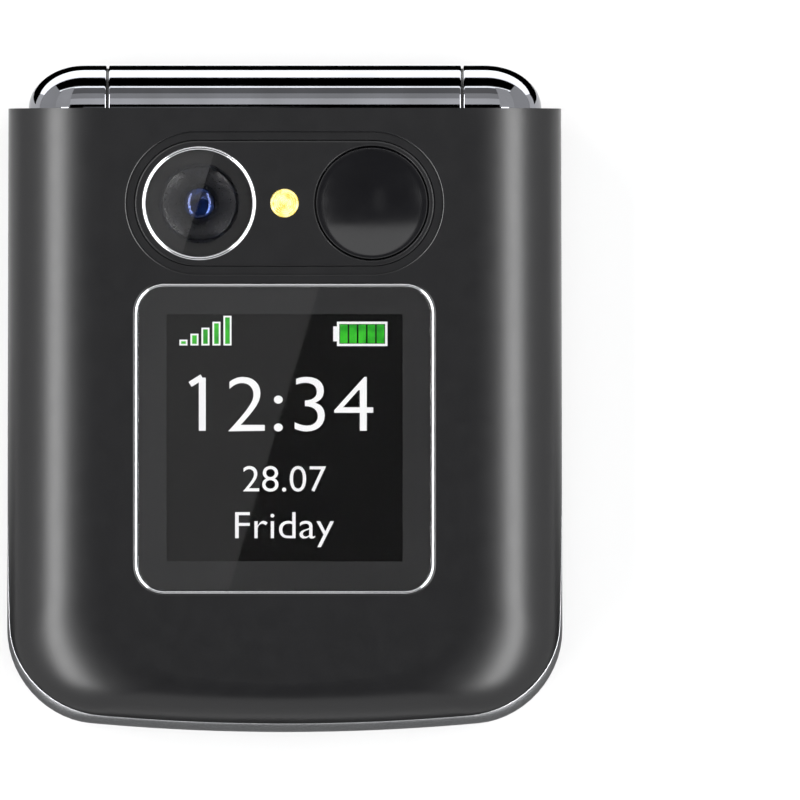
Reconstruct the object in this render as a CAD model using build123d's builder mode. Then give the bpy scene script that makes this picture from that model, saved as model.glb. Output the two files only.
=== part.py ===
from build123d import *
import os
from math import cos, radians, sin, sqrt

os.makedirs("parts", exist_ok=True)

# ================================================================ driving dimensions, mm
half_thickness = 9.5            # one half, from the parting plane to its outer face
body_length = 67.1              # hinge axis to the free end
body_width = 59.7
hinge_end_width = 59.4
barrel_radius = 4.6             # hinge barrel, centred on the parting plane
parting_gap = 0.25              # between the closed halves
hinge_end_gap = 0.1             # the halves' end faces stop this far short of the axis plane

corner_radius = 9.0             # plan corners of the free end
free_end_bow = 230.0            # plan radius of the gently bowed free end
edge_width = 10.0               # rounded long edges of the covers: across
edge_depth = 5.2                # and down
nose_level = 3.1                # height at which the free end reaches furthest
nose_radius = 3.0               # free end's rounding towards the parting plane
nose_length = 5.3               # free end's rounding towards the outer face

strip_height = 1.05             # top of the dark strip beside the parting gap
cover_wall = 1.2
frame_wall = 2.2
floor_low, floor_high = 3.5, 4.3   # inner floor that stiffens each frame
pocket_end = 64.0               # inside of the frames' free end wall
seam = 0.12                     # between the base frame and its removable cover
running_gap = 0.25              # barrel to the halves that swing round it
barrel_wall = 1.05              # wall of the halves behind the barrel
trough_half = 27.0              # half length of the base frame's trough under the barrel
trough_top, trough_lip = 3.8, 6.78   # depths at which the trough joins the frame, and its lip ends
trough_relief = 0.6             # free space behind the trough, in the back cover

# Edge between a cover and the bright side frame: distance from the hinge axis, height.
band_edge = ((-2.0, 4.0), (18.0, 4.08), (36.0, 4.5), (52.0, 5.15), (63.6, 6.2), (69.0, 7.0))

# Hinge barrel along the axis
dome_start, dome_length = 21.56, 6.04
knuckle_end = 18.95             # half length of the centre knuckle
cap_start = 19.2                # inner faces of the two end caps
lug_reach = 6.8                 # how far a knuckle's lug reaches past the axis
lug_low, lug_high = 1.3, 3.3
module_radius = 3.2             # bought-in hinge module
module_start, module_end = 3.5, 18.5
shaft_radius = 1.5
bush_radius, bush_bore, bush_wall = 2.4, 1.8, 1.0
fit_gap = 0.05                  # radial clearance of a running fit

# Lid: outer face
window_width, window_length, window_radius = 32.2, 33.3, 3.2
window_centre = 35.55           # distance from the hinge axis
window_depth, window_recess, window_ledge = 0.9, 0.08, 1.7
rim_width = 0.35
display_thickness = 2.0
island_width, island_length, island_centre = 34.0, 15.3, 10.3
island_step, island_drop = 0.85, 0.3
island_back, island_flange = 7.6, 1.0
camera_x, camera_radius, camera_ring_width = -9.16, 6.16, 0.46
camera_seat, camera_ring_proud = 0.6, 0.2
camera_barrel_radius, camera_module_size, camera_shoulder = 4.3, 9.4, 7.4
lens_radius = 1.7
flash_radius, flash_seat, flash_led_height = 1.54, 0.8, 1.0
key_x, round_key_radius, round_key_dish = 9.36, 6.0, 0.6
round_key_rim, round_key_foot = 0.3, 2.2
round_key_travel, round_key_back, round_key_plunger = 0.4, 7.65, 1.5
round_key_tab, round_key_tab_width, round_key_tab_thickness, round_key_pocket = 0.6, 4.0, 0.5, 0.6

# Lid: inner face and inside
inner_window_width, inner_window_length, inner_window_centre = 40.6, 52.0, 33.6
inner_window_recess, inner_window_radius = 0.2, 1.5
earpiece_centre, earpiece_slot_length, earpiece_slot_width = 62.0, 10.0, 1.3
bumper_x, bumper_centre, bumper_width, bumper_length = 24.6, 58.9, 2.6, 5.2
bumper_seat, bumper_relief = 0.45, 0.02
magnet_x, magnet_centre, magnet_width, magnet_length = 24.2, 50.0, 3.0, 6.0
lid_board_width, lid_board_start, lid_board_end, lid_board_high = 48.0, 6.8, 56.0, 5.1
switch_high = 6.7

# Base: keys
key_travel = 0.3
key_gap = 0.25                  # keys to their openings
key_crown = 0.2                 # depth of a key's top below the parting plane
key_edge = 0.35                 # rounding of a key's top edge
key_flange, key_flange_depth, key_flange_thickness = 0.5, 1.2, 0.3
digit_width, digit_length, key_corner = 15.4, 7.8, 1.1
side_length = 6.0               # soft, call and end keys
key_pitch_x = 17.4
digit_rows = (28.2, 37.8, 47.4, 57.0)
soft_key_row, call_key_row = 10.9, 18.9
ring_centre, ring_radius, ring_bore, ring_drop, ring_tab = 14.9, 7.4, 4.0, 0.1, 4.4
ok_radius = 3.7

# Base: inside
membrane_high, membrane_low, membrane_post, membrane_pip = 2.2, 2.5, 3.0, 0.1
membrane_width, membrane_start, membrane_end = 51.0, 7.6, 61.4
ring_post_x, pip_width = 5.7, 1.5
board_high, board_low = 2.7, 3.5
board_width, board_start, board_end = 52.0, 8.0, 62.0
battery_width, battery_length, battery_centre, battery_low = 42.0, 34.0, 42.0, 8.0
socket_width, socket_height, socket_length = 8.94, 3.26, 7.0
socket_start, socket_depth, socket_wall, socket_gap = 59.2, 4.2, 0.3, 0.18
speaker_across, speaker_along, speaker_low = (10.0, 20.6), (8.8, 22.0), 8.0
speaker_slot_length, speaker_slot_width, speaker_slot_pitch, speaker_slots = 8.0, 0.9, 1.9, 5
motor_x, motor_centre, motor_radius, motor_thickness = 24.2, 15.0, 3.0, 2.0
antenna_across, antenna_along, antenna_low = (-20.0, -8.0), (60.2, 63.0), 6.0
microphone_x, microphone_centre, microphone_radius = 8.0, 63.0, 0.5
floor_window_gap = 0.3          # round the parts that stand through the base's inner floor
board_corner = 5.0
tongue_width, tongue_thickness = 6.7, 0.7   # inside the charging socket

# Hinge: lugs and flex
centre_lug_half = 14.0
cap_lug = (20.6, 26.3)
shaft_end, shaft_flat = 25.4, 1.0
bush_end = 22.5
cam_radius, cam_across = 2.6, (15.4, 17.7)
follower_across = (12.0, 15.1)
module_wall = 0.6
flex_thickness = 0.15
flex_lid_across, flex_base_across = (-17.7, -15.3), (-24.9, -22.5)
flex_lid_height, flex_base_depth = 2.3, 2.7

# ================================================================ shared places
axis_y = (body_length - barrel_radius) / 2
hinge_axis = Axis((0, axis_y, half_thickness), (1, 0, 0))
parting_plane = Plane.XY.offset(half_thickness)
half_gap = parting_gap / 2
shoulder = half_thickness - edge_depth
inner_face = half_thickness - cover_wall
island_face = half_thickness - island_drop + 0.1

# Parts on the underside of the main board: name, depth of the far face, across, along.
board_parts = (("sim_card_holder", 5.0, (-24.0, -9.5), (9.0, 21.5)),
               ("shield_can", 5.2, (-7.0, 7.5), (9.0, 21.0)),
               ("loudspeaker", speaker_low, speaker_across, speaker_along),
               ("battery_contacts", 7.3, (-5.0, 5.0), (22.8, battery_centre - battery_length / 2)))
motor_box = ("vibration_motor", board_low + motor_thickness,
             (motor_x - motor_radius, motor_x + motor_radius),
             (motor_centre - motor_radius, motor_centre + motor_radius))
floor_windows = [((x0 - floor_window_gap, x1 + floor_window_gap), (v0 - floor_window_gap, v1 + floor_window_gap))
                 for name, low, (x0, x1), (v0, v1) in (*board_parts, motor_box)]


def at(distance):
    """Y of a place at this distance from the hinge axis."""
    return axis_y - distance


def up(height):
    """Level plane in the lid, at a height above the parting plane."""
    return Plane.XY.offset(half_thickness + height)


def down(depth):
    """Level plane in the base, at a depth below the parting plane."""
    return Plane.XY.offset(half_thickness - depth)


def finish(piece, name):
    """Label a finished piece and write it."""
    piece.part.label = name
    export_step(piece.part, f"parts/{name}.step")


# ================================================================ forms that both halves share
def free_end(height, wall=0.0):
    """Distance from the hinge axis to the free end, at a height off the parting plane."""
    if height < nose_level:
        return body_length - nose_radius + sqrt(nose_radius**2 - (nose_level - height) ** 2)
    turn = (height - nose_level) / (half_thickness - nose_level - wall)
    return body_length - nose_length + (nose_length - wall) * sqrt(max(0.0, 1 - turn**2))


def plan_outline(height, inset, end, wall=0.0, radius=corner_radius):
    """Plan outline of a half: straight hinge end, round corners, gently bowed free end."""
    narrow = hinge_end_width / 2 - inset
    wide = body_width / 2 - inset
    corner_y = at(end) + wide**2 / (2 * free_end_bow)
    top_y = at(hinge_end_gap + wall)
    with BuildSketch(up(height)) as outline:
        with BuildLine():
            Polyline((wide, corner_y), (narrow, top_y), (-narrow, top_y), (-wide, corner_y))
            ThreePointArc((-wide, corner_y), (0, at(end)), (wide, corner_y))
        make_face()
        fillet(outline.vertices().group_by(Axis.Y)[0], radius)
    return outline.sketch


def nose_section(angle):
    """Plan outline where the free end has turned this far towards the parting plane."""
    height = max(half_gap, nose_level - nose_radius * sin(radians(angle)))
    return plan_outline(height, 0, free_end(height))


def edge_section(angle, wall=0.0):
    """Plan outline where the rounded edge of a cover has turned by this many degrees."""
    height = shoulder + (edge_depth - wall) * sin(radians(angle))
    inset = wall + (edge_width - wall) * (1 - cos(radians(angle)))
    return plan_outline(height, inset, free_end(height, wall), wall, corner_radius - wall)


def rod(radius, low_x, high_x):
    """Round rod along the hinge axis, between two places."""
    with BuildPart() as piece:
        with BuildSketch(Plane.YZ.offset(low_x)):
            with Locations((axis_y, half_thickness)):
                Circle(radius)
        extrude(amount=high_x - low_x)
    return piece.part


def zone_between(low, high):
    """All that lies between two heights off the parting plane."""
    with BuildPart() as zone:
        with BuildSketch(up(low)):
            Rectangle(4 * body_width, 4 * body_length)
        extrude(amount=high - low)
    return zone.part


def zone_above_band(lift):
    """All that lies above the curved edge between a cover and its frame."""
    with BuildPart() as zone:
        with BuildSketch(Plane.YZ):
            with BuildLine():
                edge = Spline(*[(at(v), half_thickness + t + lift) for v, t in band_edge])
                Polyline(edge @ 1, (at(80), 30), (at(-10), 30), edge @ 0)
            make_face()
        extrude(amount=body_width, both=True)
    return zone.part


def block(low, high, across, along):
    """Plain block in the lid, between two heights, two X and two distances from the axis."""
    with BuildPart() as piece:
        with BuildSketch(up(low)):
            with Locations((sum(across) / 2, at(sum(along) / 2))):
                Rectangle(across[1] - across[0], along[1] - along[0])
        extrude(amount=high - low)
    return piece.part


notch_radius = barrel_radius + running_gap
notch_end = dome_start + dome_length + running_gap
barrel_clearance = rod(notch_radius, -notch_end, notch_end)
barrel_backing = rod(notch_radius + barrel_wall, -notch_end - barrel_wall, notch_end + barrel_wall)

with BuildPart() as half_form:
    loft([nose_section(angle) for angle in (90, 60, 30, 0)], ruled=True)
    loft([plan_outline(height, 0, free_end(height)) for height in (nose_level, shoulder)], ruled=True)
    loft([edge_section(angle) for angle in (0, 25, 48, 70, 90)], ruled=True)
    add(barrel_clearance, mode=Mode.SUBTRACT)

with BuildPart() as cover_hollow:
    extrude(plan_outline(shoulder, cover_wall, free_end(shoulder, cover_wall), cover_wall,
                         corner_radius - cover_wall), amount=-shoulder)
    loft([edge_section(angle, cover_wall) for angle in (0, 45, 90)], ruled=True)
    add(barrel_backing, mode=Mode.SUBTRACT)


def cover_form(lift):
    """Hollow cover above the curved edge, lifted clear of it by this much."""
    with BuildPart() as form:
        add(half_form.part)
        add(zone_above_band(lift), mode=Mode.INTERSECT)
        add(cover_hollow.part, mode=Mode.SUBTRACT)
    return form.part


with BuildPart() as frame_pocket:
    for low, high in ((strip_height, floor_low), (floor_high, half_thickness)):
        extrude(plan_outline(low, frame_wall, pocket_end, frame_wall, corner_radius - frame_wall),
                amount=high - low)
    add(barrel_backing, mode=Mode.SUBTRACT)

with BuildPart() as frame_form:
    add(half_form.part)
    add(zone_between(strip_height, half_thickness), mode=Mode.INTERSECT)
    add(zone_above_band(0), mode=Mode.SUBTRACT)
    add(frame_pocket.part, mode=Mode.SUBTRACT)

with BuildPart() as strip_form:
    add(half_form.part)
    add(zone_between(0, strip_height), mode=Mode.INTERSECT)

# ================================================================ lid: shells
with BuildPart() as lid_cover:
    add(cover_form(0))
    with BuildSketch(up(half_thickness)):
        with Locations((0, at(window_centre))):
            RectangleRounded(window_width, window_length, window_radius)
    extrude(amount=-window_depth, mode=Mode.SUBTRACT)
    with BuildSketch(up(half_thickness)):
        with Locations((0, at(window_centre))):
            RectangleRounded(window_width - 2 * window_ledge, window_length - 2 * window_ledge,
                             window_radius - window_ledge)
    extrude(amount=-2 * cover_wall, mode=Mode.SUBTRACT)
    with BuildSketch(up(half_thickness)):
        with Locations((0, at(island_centre))):
            SlotOverall(island_width, island_length)
    extrude(amount=-island_drop, mode=Mode.SUBTRACT)
    with BuildSketch(up(half_thickness)):
        with Locations((0, at(island_centre))):
            SlotOverall(island_width - 2 * island_step, island_length - 2 * island_step)
    extrude(amount=-2 * cover_wall, mode=Mode.SUBTRACT)
finish(lid_cover, "lid_cover")

with BuildPart() as lid_frame:
    add(frame_form.part)
    for across in ((-centre_lug_half, centre_lug_half), flex_lid_across):
        add(block(lug_low, lug_high, across, (0, lug_reach)), mode=Mode.SUBTRACT)
finish(lid_frame, "lid_frame")

with BuildPart() as lid_bezel:
    add(strip_form.part)
    with BuildSketch(up(0)):
        with Locations((0, at(inner_window_centre))):
            RectangleRounded(inner_window_width, inner_window_length, inner_window_radius)
        with Locations((0, at(earpiece_centre))):
            SlotOverall(earpiece_slot_length, earpiece_slot_width)
    extrude(amount=2 * strip_height, mode=Mode.SUBTRACT)
    with BuildSketch(up(0)):
        with Locations((-bumper_x, at(bumper_centre)), (bumper_x, at(bumper_centre))):
            RectangleRounded(bumper_width, bumper_length, bumper_width / 2 - 0.01)
    extrude(amount=bumper_seat, mode=Mode.SUBTRACT)
finish(lid_bezel, "lid_bezel")

# ================================================================ lid: outer face
with BuildPart() as outer_window_rim:
    with BuildSketch(up(half_thickness - window_depth)):
        with Locations((0, at(window_centre))):
            RectangleRounded(window_width, window_length, window_radius)
            RectangleRounded(window_width - 2 * rim_width, window_length - 2 * rim_width,
                             window_radius - rim_width, mode=Mode.SUBTRACT)
    extrude(amount=window_depth)
finish(outer_window_rim, "outer_window_rim")

with BuildPart() as outer_window:
    with BuildSketch(up(half_thickness - window_depth)):
        with Locations((0, at(window_centre))):
            RectangleRounded(window_width - 2 * rim_width, window_length - 2 * rim_width,
                             window_radius - rim_width)
    extrude(amount=window_depth - window_recess)
finish(outer_window, "outer_window")

with BuildPart() as outer_display:
    with BuildSketch(up(inner_face)):
        with Locations((0, at(window_centre))):
            Rectangle(window_width - window_ledge, window_length - window_ledge)
    extrude(amount=-display_thickness)
    with BuildSketch(up(inner_face - display_thickness)):
        with Locations((0, at(window_centre))):
            Rectangle(window_width - window_ledge, window_length - window_ledge)
            Rectangle(window_width - window_ledge - 4, window_length - window_ledge - 4,
                      mode=Mode.SUBTRACT)
    extrude(amount=-(inner_face - display_thickness - lid_board_high))
finish(outer_display, "outer_display")

with BuildPart() as camera_island:
    with BuildSketch(up(island_back)):
        with Locations((0, at(island_centre))):
            SlotOverall(island_width + 2 * island_flange, island_length + 2 * island_flange)
    extrude(amount=inner_face - island_back)
    with BuildSketch(up(island_back)):
        with Locations((0, at(island_centre))):
            SlotOverall(island_width - 2 * island_step - 0.1, island_length - 2 * island_step - 0.1)
    extrude(amount=island_face - island_back)
    with BuildSketch(up(island_face)):
        with Locations((camera_x, at(island_centre))):
            Circle(camera_radius)
    extrude(amount=-camera_seat, mode=Mode.SUBTRACT)
    with BuildSketch(up(island_face)):
        with Locations((camera_x, at(island_centre))):
            Circle(camera_barrel_radius + 0.3)
        with Locations((0, at(island_centre))):
            Circle(flash_radius - 0.3)
        with Locations((key_x, at(island_centre))):
            Circle(round_key_radius + 0.12)
    extrude(amount=-half_thickness / 2, mode=Mode.SUBTRACT)
    with BuildSketch(up(island_face)):
        with Locations((0, at(island_centre))):
            Circle(flash_radius)
    extrude(amount=-flash_seat, mode=Mode.SUBTRACT)
    with BuildSketch(up(island_back)):
        with Locations((key_x, at(island_centre))):
            Rectangle(2 * (round_key_radius + round_key_tab + key_gap),
                      round_key_tab_width + 2 * key_gap)
    extrude(amount=round_key_pocket, mode=Mode.SUBTRACT)
finish(camera_island, "camera_island")

with BuildPart() as camera_ring:
    with BuildSketch(up(island_face - camera_seat)):
        with Locations((camera_x, at(island_centre))):
            Circle(camera_radius)
            Circle(camera_radius - camera_ring_width, mode=Mode.SUBTRACT)
    extrude(amount=camera_seat + camera_ring_proud)
finish(camera_ring, "camera_ring")

with BuildPart() as camera_glass:
    with BuildSketch(up(island_face - camera_seat)):
        with Locations((camera_x, at(island_centre))):
            Circle(camera_radius - camera_ring_width)
    extrude(amount=camera_seat)
finish(camera_glass, "camera_glass")

with BuildPart() as camera_module:
    with BuildSketch(up(lid_board_high)):
        with Locations((camera_x, at(island_centre))):
            RectangleRounded(camera_module_size, camera_module_size, 0.6)
    extrude(amount=camera_shoulder - lid_board_high)
    with BuildSketch(up(camera_shoulder)):
        with Locations((camera_x, at(island_centre))):
            Circle(camera_barrel_radius)
    extrude(amount=island_face - camera_seat - camera_shoulder)
    with Locations(Location((camera_x, at(island_centre), half_thickness + island_face - camera_seat))):
        Cone(lens_radius, camera_barrel_radius - 0.5, 1.0,
             align=(Align.CENTER, Align.CENTER, Align.MAX), mode=Mode.SUBTRACT)
finish(camera_module, "camera_module")

with BuildPart() as flash_lens:
    with BuildSketch(up(island_face - flash_seat)):
        with Locations((0, at(island_centre))):
            Circle(flash_radius)
    extrude(amount=flash_seat)
finish(flash_lens, "flash_lens")

with BuildPart() as round_key:
    with BuildSketch(up(round_key_back)):
        with Locations((key_x, at(island_centre))):
            Rectangle(2 * (round_key_radius + round_key_tab), round_key_tab_width)
    extrude(amount=round_key_tab_thickness)
    with BuildSketch(up(round_key_back)):
        with Locations((key_x, at(island_centre))):
            Circle(round_key_radius)
    extrude(amount=island_face - round_key_back)
    with Locations(Location((key_x, at(island_centre), half_thickness + island_face))):
        Cone(round_key_foot, round_key_radius - round_key_rim, round_key_dish,
             align=(Align.CENTER, Align.CENTER, Align.MAX), mode=Mode.SUBTRACT)
    with BuildSketch(up(round_key_back)):
        with Locations((key_x, at(island_centre))):
            Circle(round_key_plunger)
    extrude(amount=-(round_key_back - switch_high - round_key_travel - 0.1))
finish(round_key, "round_key")

# ================================================================ lid: inside
with BuildPart() as lid_board:
    with BuildSketch(up(floor_high)):
        with Locations((0, at((lid_board_start + lid_board_end) / 2))):
            RectangleRounded(lid_board_width, lid_board_end - lid_board_start, 1.5)
    extrude(amount=lid_board_high - floor_high)
    with BuildSketch(up(lid_board_high)):
        with Locations((key_x, at(island_centre))):
            Rectangle(4.5, 4.5)
    extrude(amount=switch_high - lid_board_high - 0.4)
    with BuildSketch(up(lid_board_high)):
        with Locations((key_x, at(island_centre))):
            Circle(1.2)
    extrude(amount=switch_high - lid_board_high)
    with BuildSketch(up(lid_board_high)):
        with Locations((0, at(island_centre))):
            Rectangle(2.0, 2.0)
    extrude(amount=flash_led_height)
finish(lid_board, "lid_board")

with BuildPart() as inner_display:
    with BuildSketch(up(strip_height)):
        with Locations((0, at(inner_window_centre))):
            Rectangle(inner_window_width - 1, inner_window_length - 0.6)
    extrude(amount=floor_low - strip_height)
finish(inner_display, "inner_display")

with BuildPart() as inner_window:
    with BuildSketch(up(half_gap + inner_window_recess)):
        with Locations((0, at(inner_window_centre))):
            RectangleRounded(inner_window_width, inner_window_length, inner_window_radius)
    extrude(amount=strip_height - half_gap - inner_window_recess)
finish(inner_window, "inner_window")

with BuildPart() as earpiece:
    with BuildSketch(up(strip_height)):
        with Locations((0, at(earpiece_centre - 0.2))):
            SlotOverall(earpiece_slot_length + 2.5, earpiece_slot_width + 2.2)
    extrude(amount=floor_low - strip_height)
finish(earpiece, "earpiece")

with BuildPart() as closing_magnet:
    with BuildSketch(up(strip_height)):
        with Locations((-magnet_x, at(magnet_centre))):
            Rectangle(magnet_width, magnet_length)
    extrude(amount=floor_low - strip_height)
finish(closing_magnet, "closing_magnet")

with BuildPart() as bumpers:
    with BuildSketch(up(bumper_seat)):
        with Locations((-bumper_x, at(bumper_centre)), (bumper_x, at(bumper_centre))):
            RectangleRounded(bumper_width, bumper_length, bumper_width / 2 - 0.01)
    extrude(amount=-(bumper_seat + half_gap - bumper_relief))
finish(bumpers, "bumpers")

# ================================================================ hinge
def domed_end():
    """One end of the barrel, from its inner face to the top of its dome."""
    dome = [(dome_start + dome_length * sin(radians(angle)), axis_y + barrel_radius * cos(radians(angle)))
            for angle in (0, 28, 54, 75)]
    with BuildPart() as piece:
        with BuildSketch(parting_plane):
            with BuildLine():
                Polyline((cap_start, axis_y + barrel_radius), *dome, (dome_start + dome_length, axis_y),
                         (cap_start, axis_y), close=True)
            make_face()
        revolve(axis=hinge_axis)
    return piece.part


def d_rod(low_x, high_x):
    """Rod of the hinge shaft with the flat that keys it into its cap."""
    with BuildPart() as piece:
        add(rod(shaft_radius, low_x, high_x))
        add(block(shaft_flat, barrel_radius, (low_x, high_x), (-barrel_radius, barrel_radius)),
            mode=Mode.SUBTRACT)
    return piece.part


with BuildPart() as hinge_centre_cover:
    add(rod(barrel_radius, -knuckle_end, knuckle_end))
    add(block(lug_low, lug_high, (-centre_lug_half, centre_lug_half), (lug_low, lug_reach)))
    add(rod(module_radius, -knuckle_end + bush_wall, knuckle_end), mode=Mode.SUBTRACT)
    add(rod(bush_radius + fit_gap, -knuckle_end, -knuckle_end + bush_wall), mode=Mode.SUBTRACT)
    add(block(0, lug_high, flex_lid_across, (0, lug_reach)), mode=Mode.SUBTRACT)
finish(hinge_centre_cover, "hinge_centre_cover")

with BuildPart() as hinge_cap_right:
    add(domed_end())
    mirror(block(lug_low, lug_high, cap_lug, (lug_low, lug_reach)), about=parting_plane)
    add(d_rod(cap_start, shaft_end), mode=Mode.SUBTRACT)
finish(hinge_cap_right, "hinge_cap_right")

with BuildPart() as hinge_cap_left:
    mirror(domed_end(), about=Plane.YZ)
    mirror(block(lug_low, lug_high, (-cap_lug[1], -cap_lug[0]), (lug_low, lug_reach)),
           about=parting_plane)
    add(rod(bush_radius, -bush_end, -cap_start), mode=Mode.SUBTRACT)
    add(block(-flex_base_depth - 0.3, 1.5, flex_base_across, (-1, 1)), mode=Mode.SUBTRACT)
    add(block(-flex_base_depth - 0.3, -flex_base_depth + 0.3, flex_base_across, (-1, lug_reach)),
        mode=Mode.SUBTRACT)
finish(hinge_cap_left, "hinge_cap_left")

with BuildPart() as hinge_module_can:
    add(rod(module_radius, module_start, module_end))
    add(rod(module_radius - module_wall, module_start + module_wall, module_end - module_wall),
        mode=Mode.SUBTRACT)
    add(rod(shaft_radius + fit_gap, module_end - module_wall, module_end), mode=Mode.SUBTRACT)
finish(hinge_module_can, "hinge_module_can")

with BuildPart() as hinge_cam_shaft:
    add(rod(shaft_radius, follower_across[0] + 1, cap_start))
    add(rod(cam_radius - fit_gap, *cam_across))
    add(d_rod(cap_start, shaft_end))
finish(hinge_cam_shaft, "hinge_cam_shaft")

with BuildPart() as hinge_follower:
    add(rod(cam_radius, *follower_across))
    add(rod(shaft_radius + fit_gap, *follower_across), mode=Mode.SUBTRACT)
finish(hinge_follower, "hinge_follower")

with BuildPart() as hinge_spring:
    add(rod(cam_radius - 0.1, module_start + module_wall, follower_across[0]))
    add(rod(cam_radius - 0.7, module_start + module_wall, follower_across[0]), mode=Mode.SUBTRACT)
finish(hinge_spring, "hinge_spring")

with BuildPart() as hinge_bush:
    add(rod(bush_radius, -bush_end, -knuckle_end + bush_wall + 0.1))
    add(rod(bush_bore, -bush_end, -knuckle_end + bush_wall + 0.1), mode=Mode.SUBTRACT)
finish(hinge_bush, "hinge_bush")

flex_half = flex_thickness / 2
flex_width = flex_lid_across[1] - flex_lid_across[0]
with BuildPart() as hinge_flex:
    add(block(-flex_base_depth - flex_half, -flex_base_depth + flex_half, flex_base_across,
              (-flex_half, board_start)))
    add(block(-flex_base_depth - flex_half, flex_width / 2, flex_base_across, (-flex_half, flex_half)))
    add(block(-flex_width / 2, flex_width / 2, (flex_base_across[0], flex_lid_across[1]),
              (-flex_half, flex_half)))
    add(block(-flex_width / 2, flex_lid_height + flex_half, flex_lid_across, (-flex_half, flex_half)))
    add(block(flex_lid_height - flex_half, flex_lid_height + flex_half, flex_lid_across,
              (-flex_half, inner_window_centre - inner_window_length / 2 + 0.3)))
finish(hinge_flex, "hinge_flex")

# ================================================================ base: shells
digits = ("1", "2", "3", "4", "5", "6", "7", "8", "9", "star", "0", "hash")
key_columns = (-key_pitch_x, 0.0, key_pitch_x)
keys = [(f"key_{name}", key_columns[i % 3], digit_rows[i // 3], digit_length)
        for i, name in enumerate(digits)]
keys += [("key_soft_left", -key_pitch_x, soft_key_row, side_length),
         ("key_soft_right", key_pitch_x, soft_key_row, side_length),
         ("key_call", -key_pitch_x, call_key_row, side_length),
         ("key_end", key_pitch_x, call_key_row, side_length)]

def key_outline(width, length):
    """Key outline with its corners cut."""
    with BuildSketch() as outline:
        Rectangle(width, length)
        chamfer(outline.vertices(), key_corner)
    return outline.sketch


with BuildPart() as keypad_deck:
    mirror(strip_form.part, about=parting_plane)
    with BuildSketch(parting_plane):
        for name, x, row, length in keys:
            with Locations((x, at(row))):
                add(key_outline(digit_width + 2 * key_gap, length + 2 * key_gap))
        with Locations((0, at(ring_centre))):
            Circle(ring_radius + key_gap)
        with Locations((microphone_x, at(microphone_centre))):
            Circle(microphone_radius)
    extrude(amount=-2 * strip_height, mode=Mode.SUBTRACT)
finish(keypad_deck, "keypad_deck")

with BuildPart() as barrel_trough:
    add(rod(notch_radius + barrel_wall, -trough_half, trough_half))
    add(block(-trough_lip, 0, (-trough_half, trough_half), (hinge_end_gap, hinge_end_gap + cover_wall)))
    add(block(-trough_lip, -trough_top, (-trough_half, trough_half),
              (hinge_end_gap, notch_radius + barrel_wall)), mode=Mode.INTERSECT)
    add(barrel_clearance, mode=Mode.SUBTRACT)

with BuildPart() as base_frame:
    mirror(frame_form.part, about=parting_plane)
    add(barrel_trough.part)
    for across in (cap_lug, (-cap_lug[1], -cap_lug[0])):
        mirror(block(lug_low, lug_high, across, (0, lug_reach)), about=parting_plane,
               mode=Mode.SUBTRACT)
    with BuildSketch(down(floor_low)):
        for across, along in floor_windows:
            with Locations((sum(across) / 2, at(sum(along) / 2))):
                Rectangle(across[1] - across[0], along[1] - along[0])
    extrude(amount=-2, mode=Mode.SUBTRACT)
    with BuildSketch(Plane.XZ.offset(-at(socket_start - socket_gap))):
        with Locations((0, half_thickness - socket_depth)):
            RectangleRounded(socket_width + 2 * socket_gap, socket_height + 2 * socket_gap,
                             socket_height / 2 + 0.1)
    extrude(amount=2 * socket_length, mode=Mode.SUBTRACT)
finish(base_frame, "base_frame")

with BuildPart() as back_cover:
    mirror(cover_form(seam), about=parting_plane)
    add(block(-trough_lip - seam, 0, (-trough_half - seam, trough_half + seam),
              (-barrel_radius, notch_radius + barrel_wall + trough_relief)), mode=Mode.SUBTRACT)
    with BuildSketch(Plane.XY):
        with Locations((sum(speaker_across) / 2, at(sum(speaker_along) / 2))):
            with GridLocations(0, speaker_slot_pitch, 1, speaker_slots):
                SlotOverall(speaker_slot_length, speaker_slot_width)
    extrude(amount=2 * cover_wall, mode=Mode.SUBTRACT)
finish(back_cover, "back_cover")

# ================================================================ base: keys
for name, x, row, length in keys:
    with BuildPart() as key:
        with BuildSketch(down(key_flange_depth)):
            with Locations((x, at(row))):
                add(key_outline(digit_width, length))
        extrude(amount=key_flange_depth - key_crown)
        chamfer(key.faces().sort_by(Axis.Z)[-1].edges(), key_edge)
        with BuildSketch(down(key_flange_depth)):
            with Locations((x, at(row))):
                Rectangle(digit_width + 2 * key_flange, length - 2 * key_corner)
        extrude(amount=-key_flange_thickness)
    finish(key, name)

with BuildPart() as key_navigation:
    with BuildSketch(down(key_flange_depth + ring_drop)):
        with Locations((0, at(ring_centre))):
            Circle(ring_radius)
            Circle(ring_bore, mode=Mode.SUBTRACT)
    extrude(amount=key_flange_depth + ring_drop - key_crown)
    chamfer(key_navigation.faces().sort_by(Axis.Z)[-1].edges(), key_edge)
    with BuildSketch(down(key_flange_depth + ring_drop)):
        with Locations((0, at(ring_centre))):
            Rectangle(2 * (ring_radius + key_flange), ring_tab)
            Rectangle(ring_tab, 2 * (ring_radius + key_flange))
            Circle(ring_bore, mode=Mode.SUBTRACT)
    extrude(amount=-key_flange_thickness)
finish(key_navigation, "key_navigation")

with BuildPart() as key_ok:
    with BuildSketch(down(key_flange_depth + key_flange_thickness)):
        with Locations((0, at(ring_centre))):
            Circle(ok_radius)
    extrude(amount=key_flange_depth + key_flange_thickness - key_crown)
    chamfer(key_ok.faces().sort_by(Axis.Z)[-1].edges(), key_edge)
finish(key_ok, "key_ok")

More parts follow.
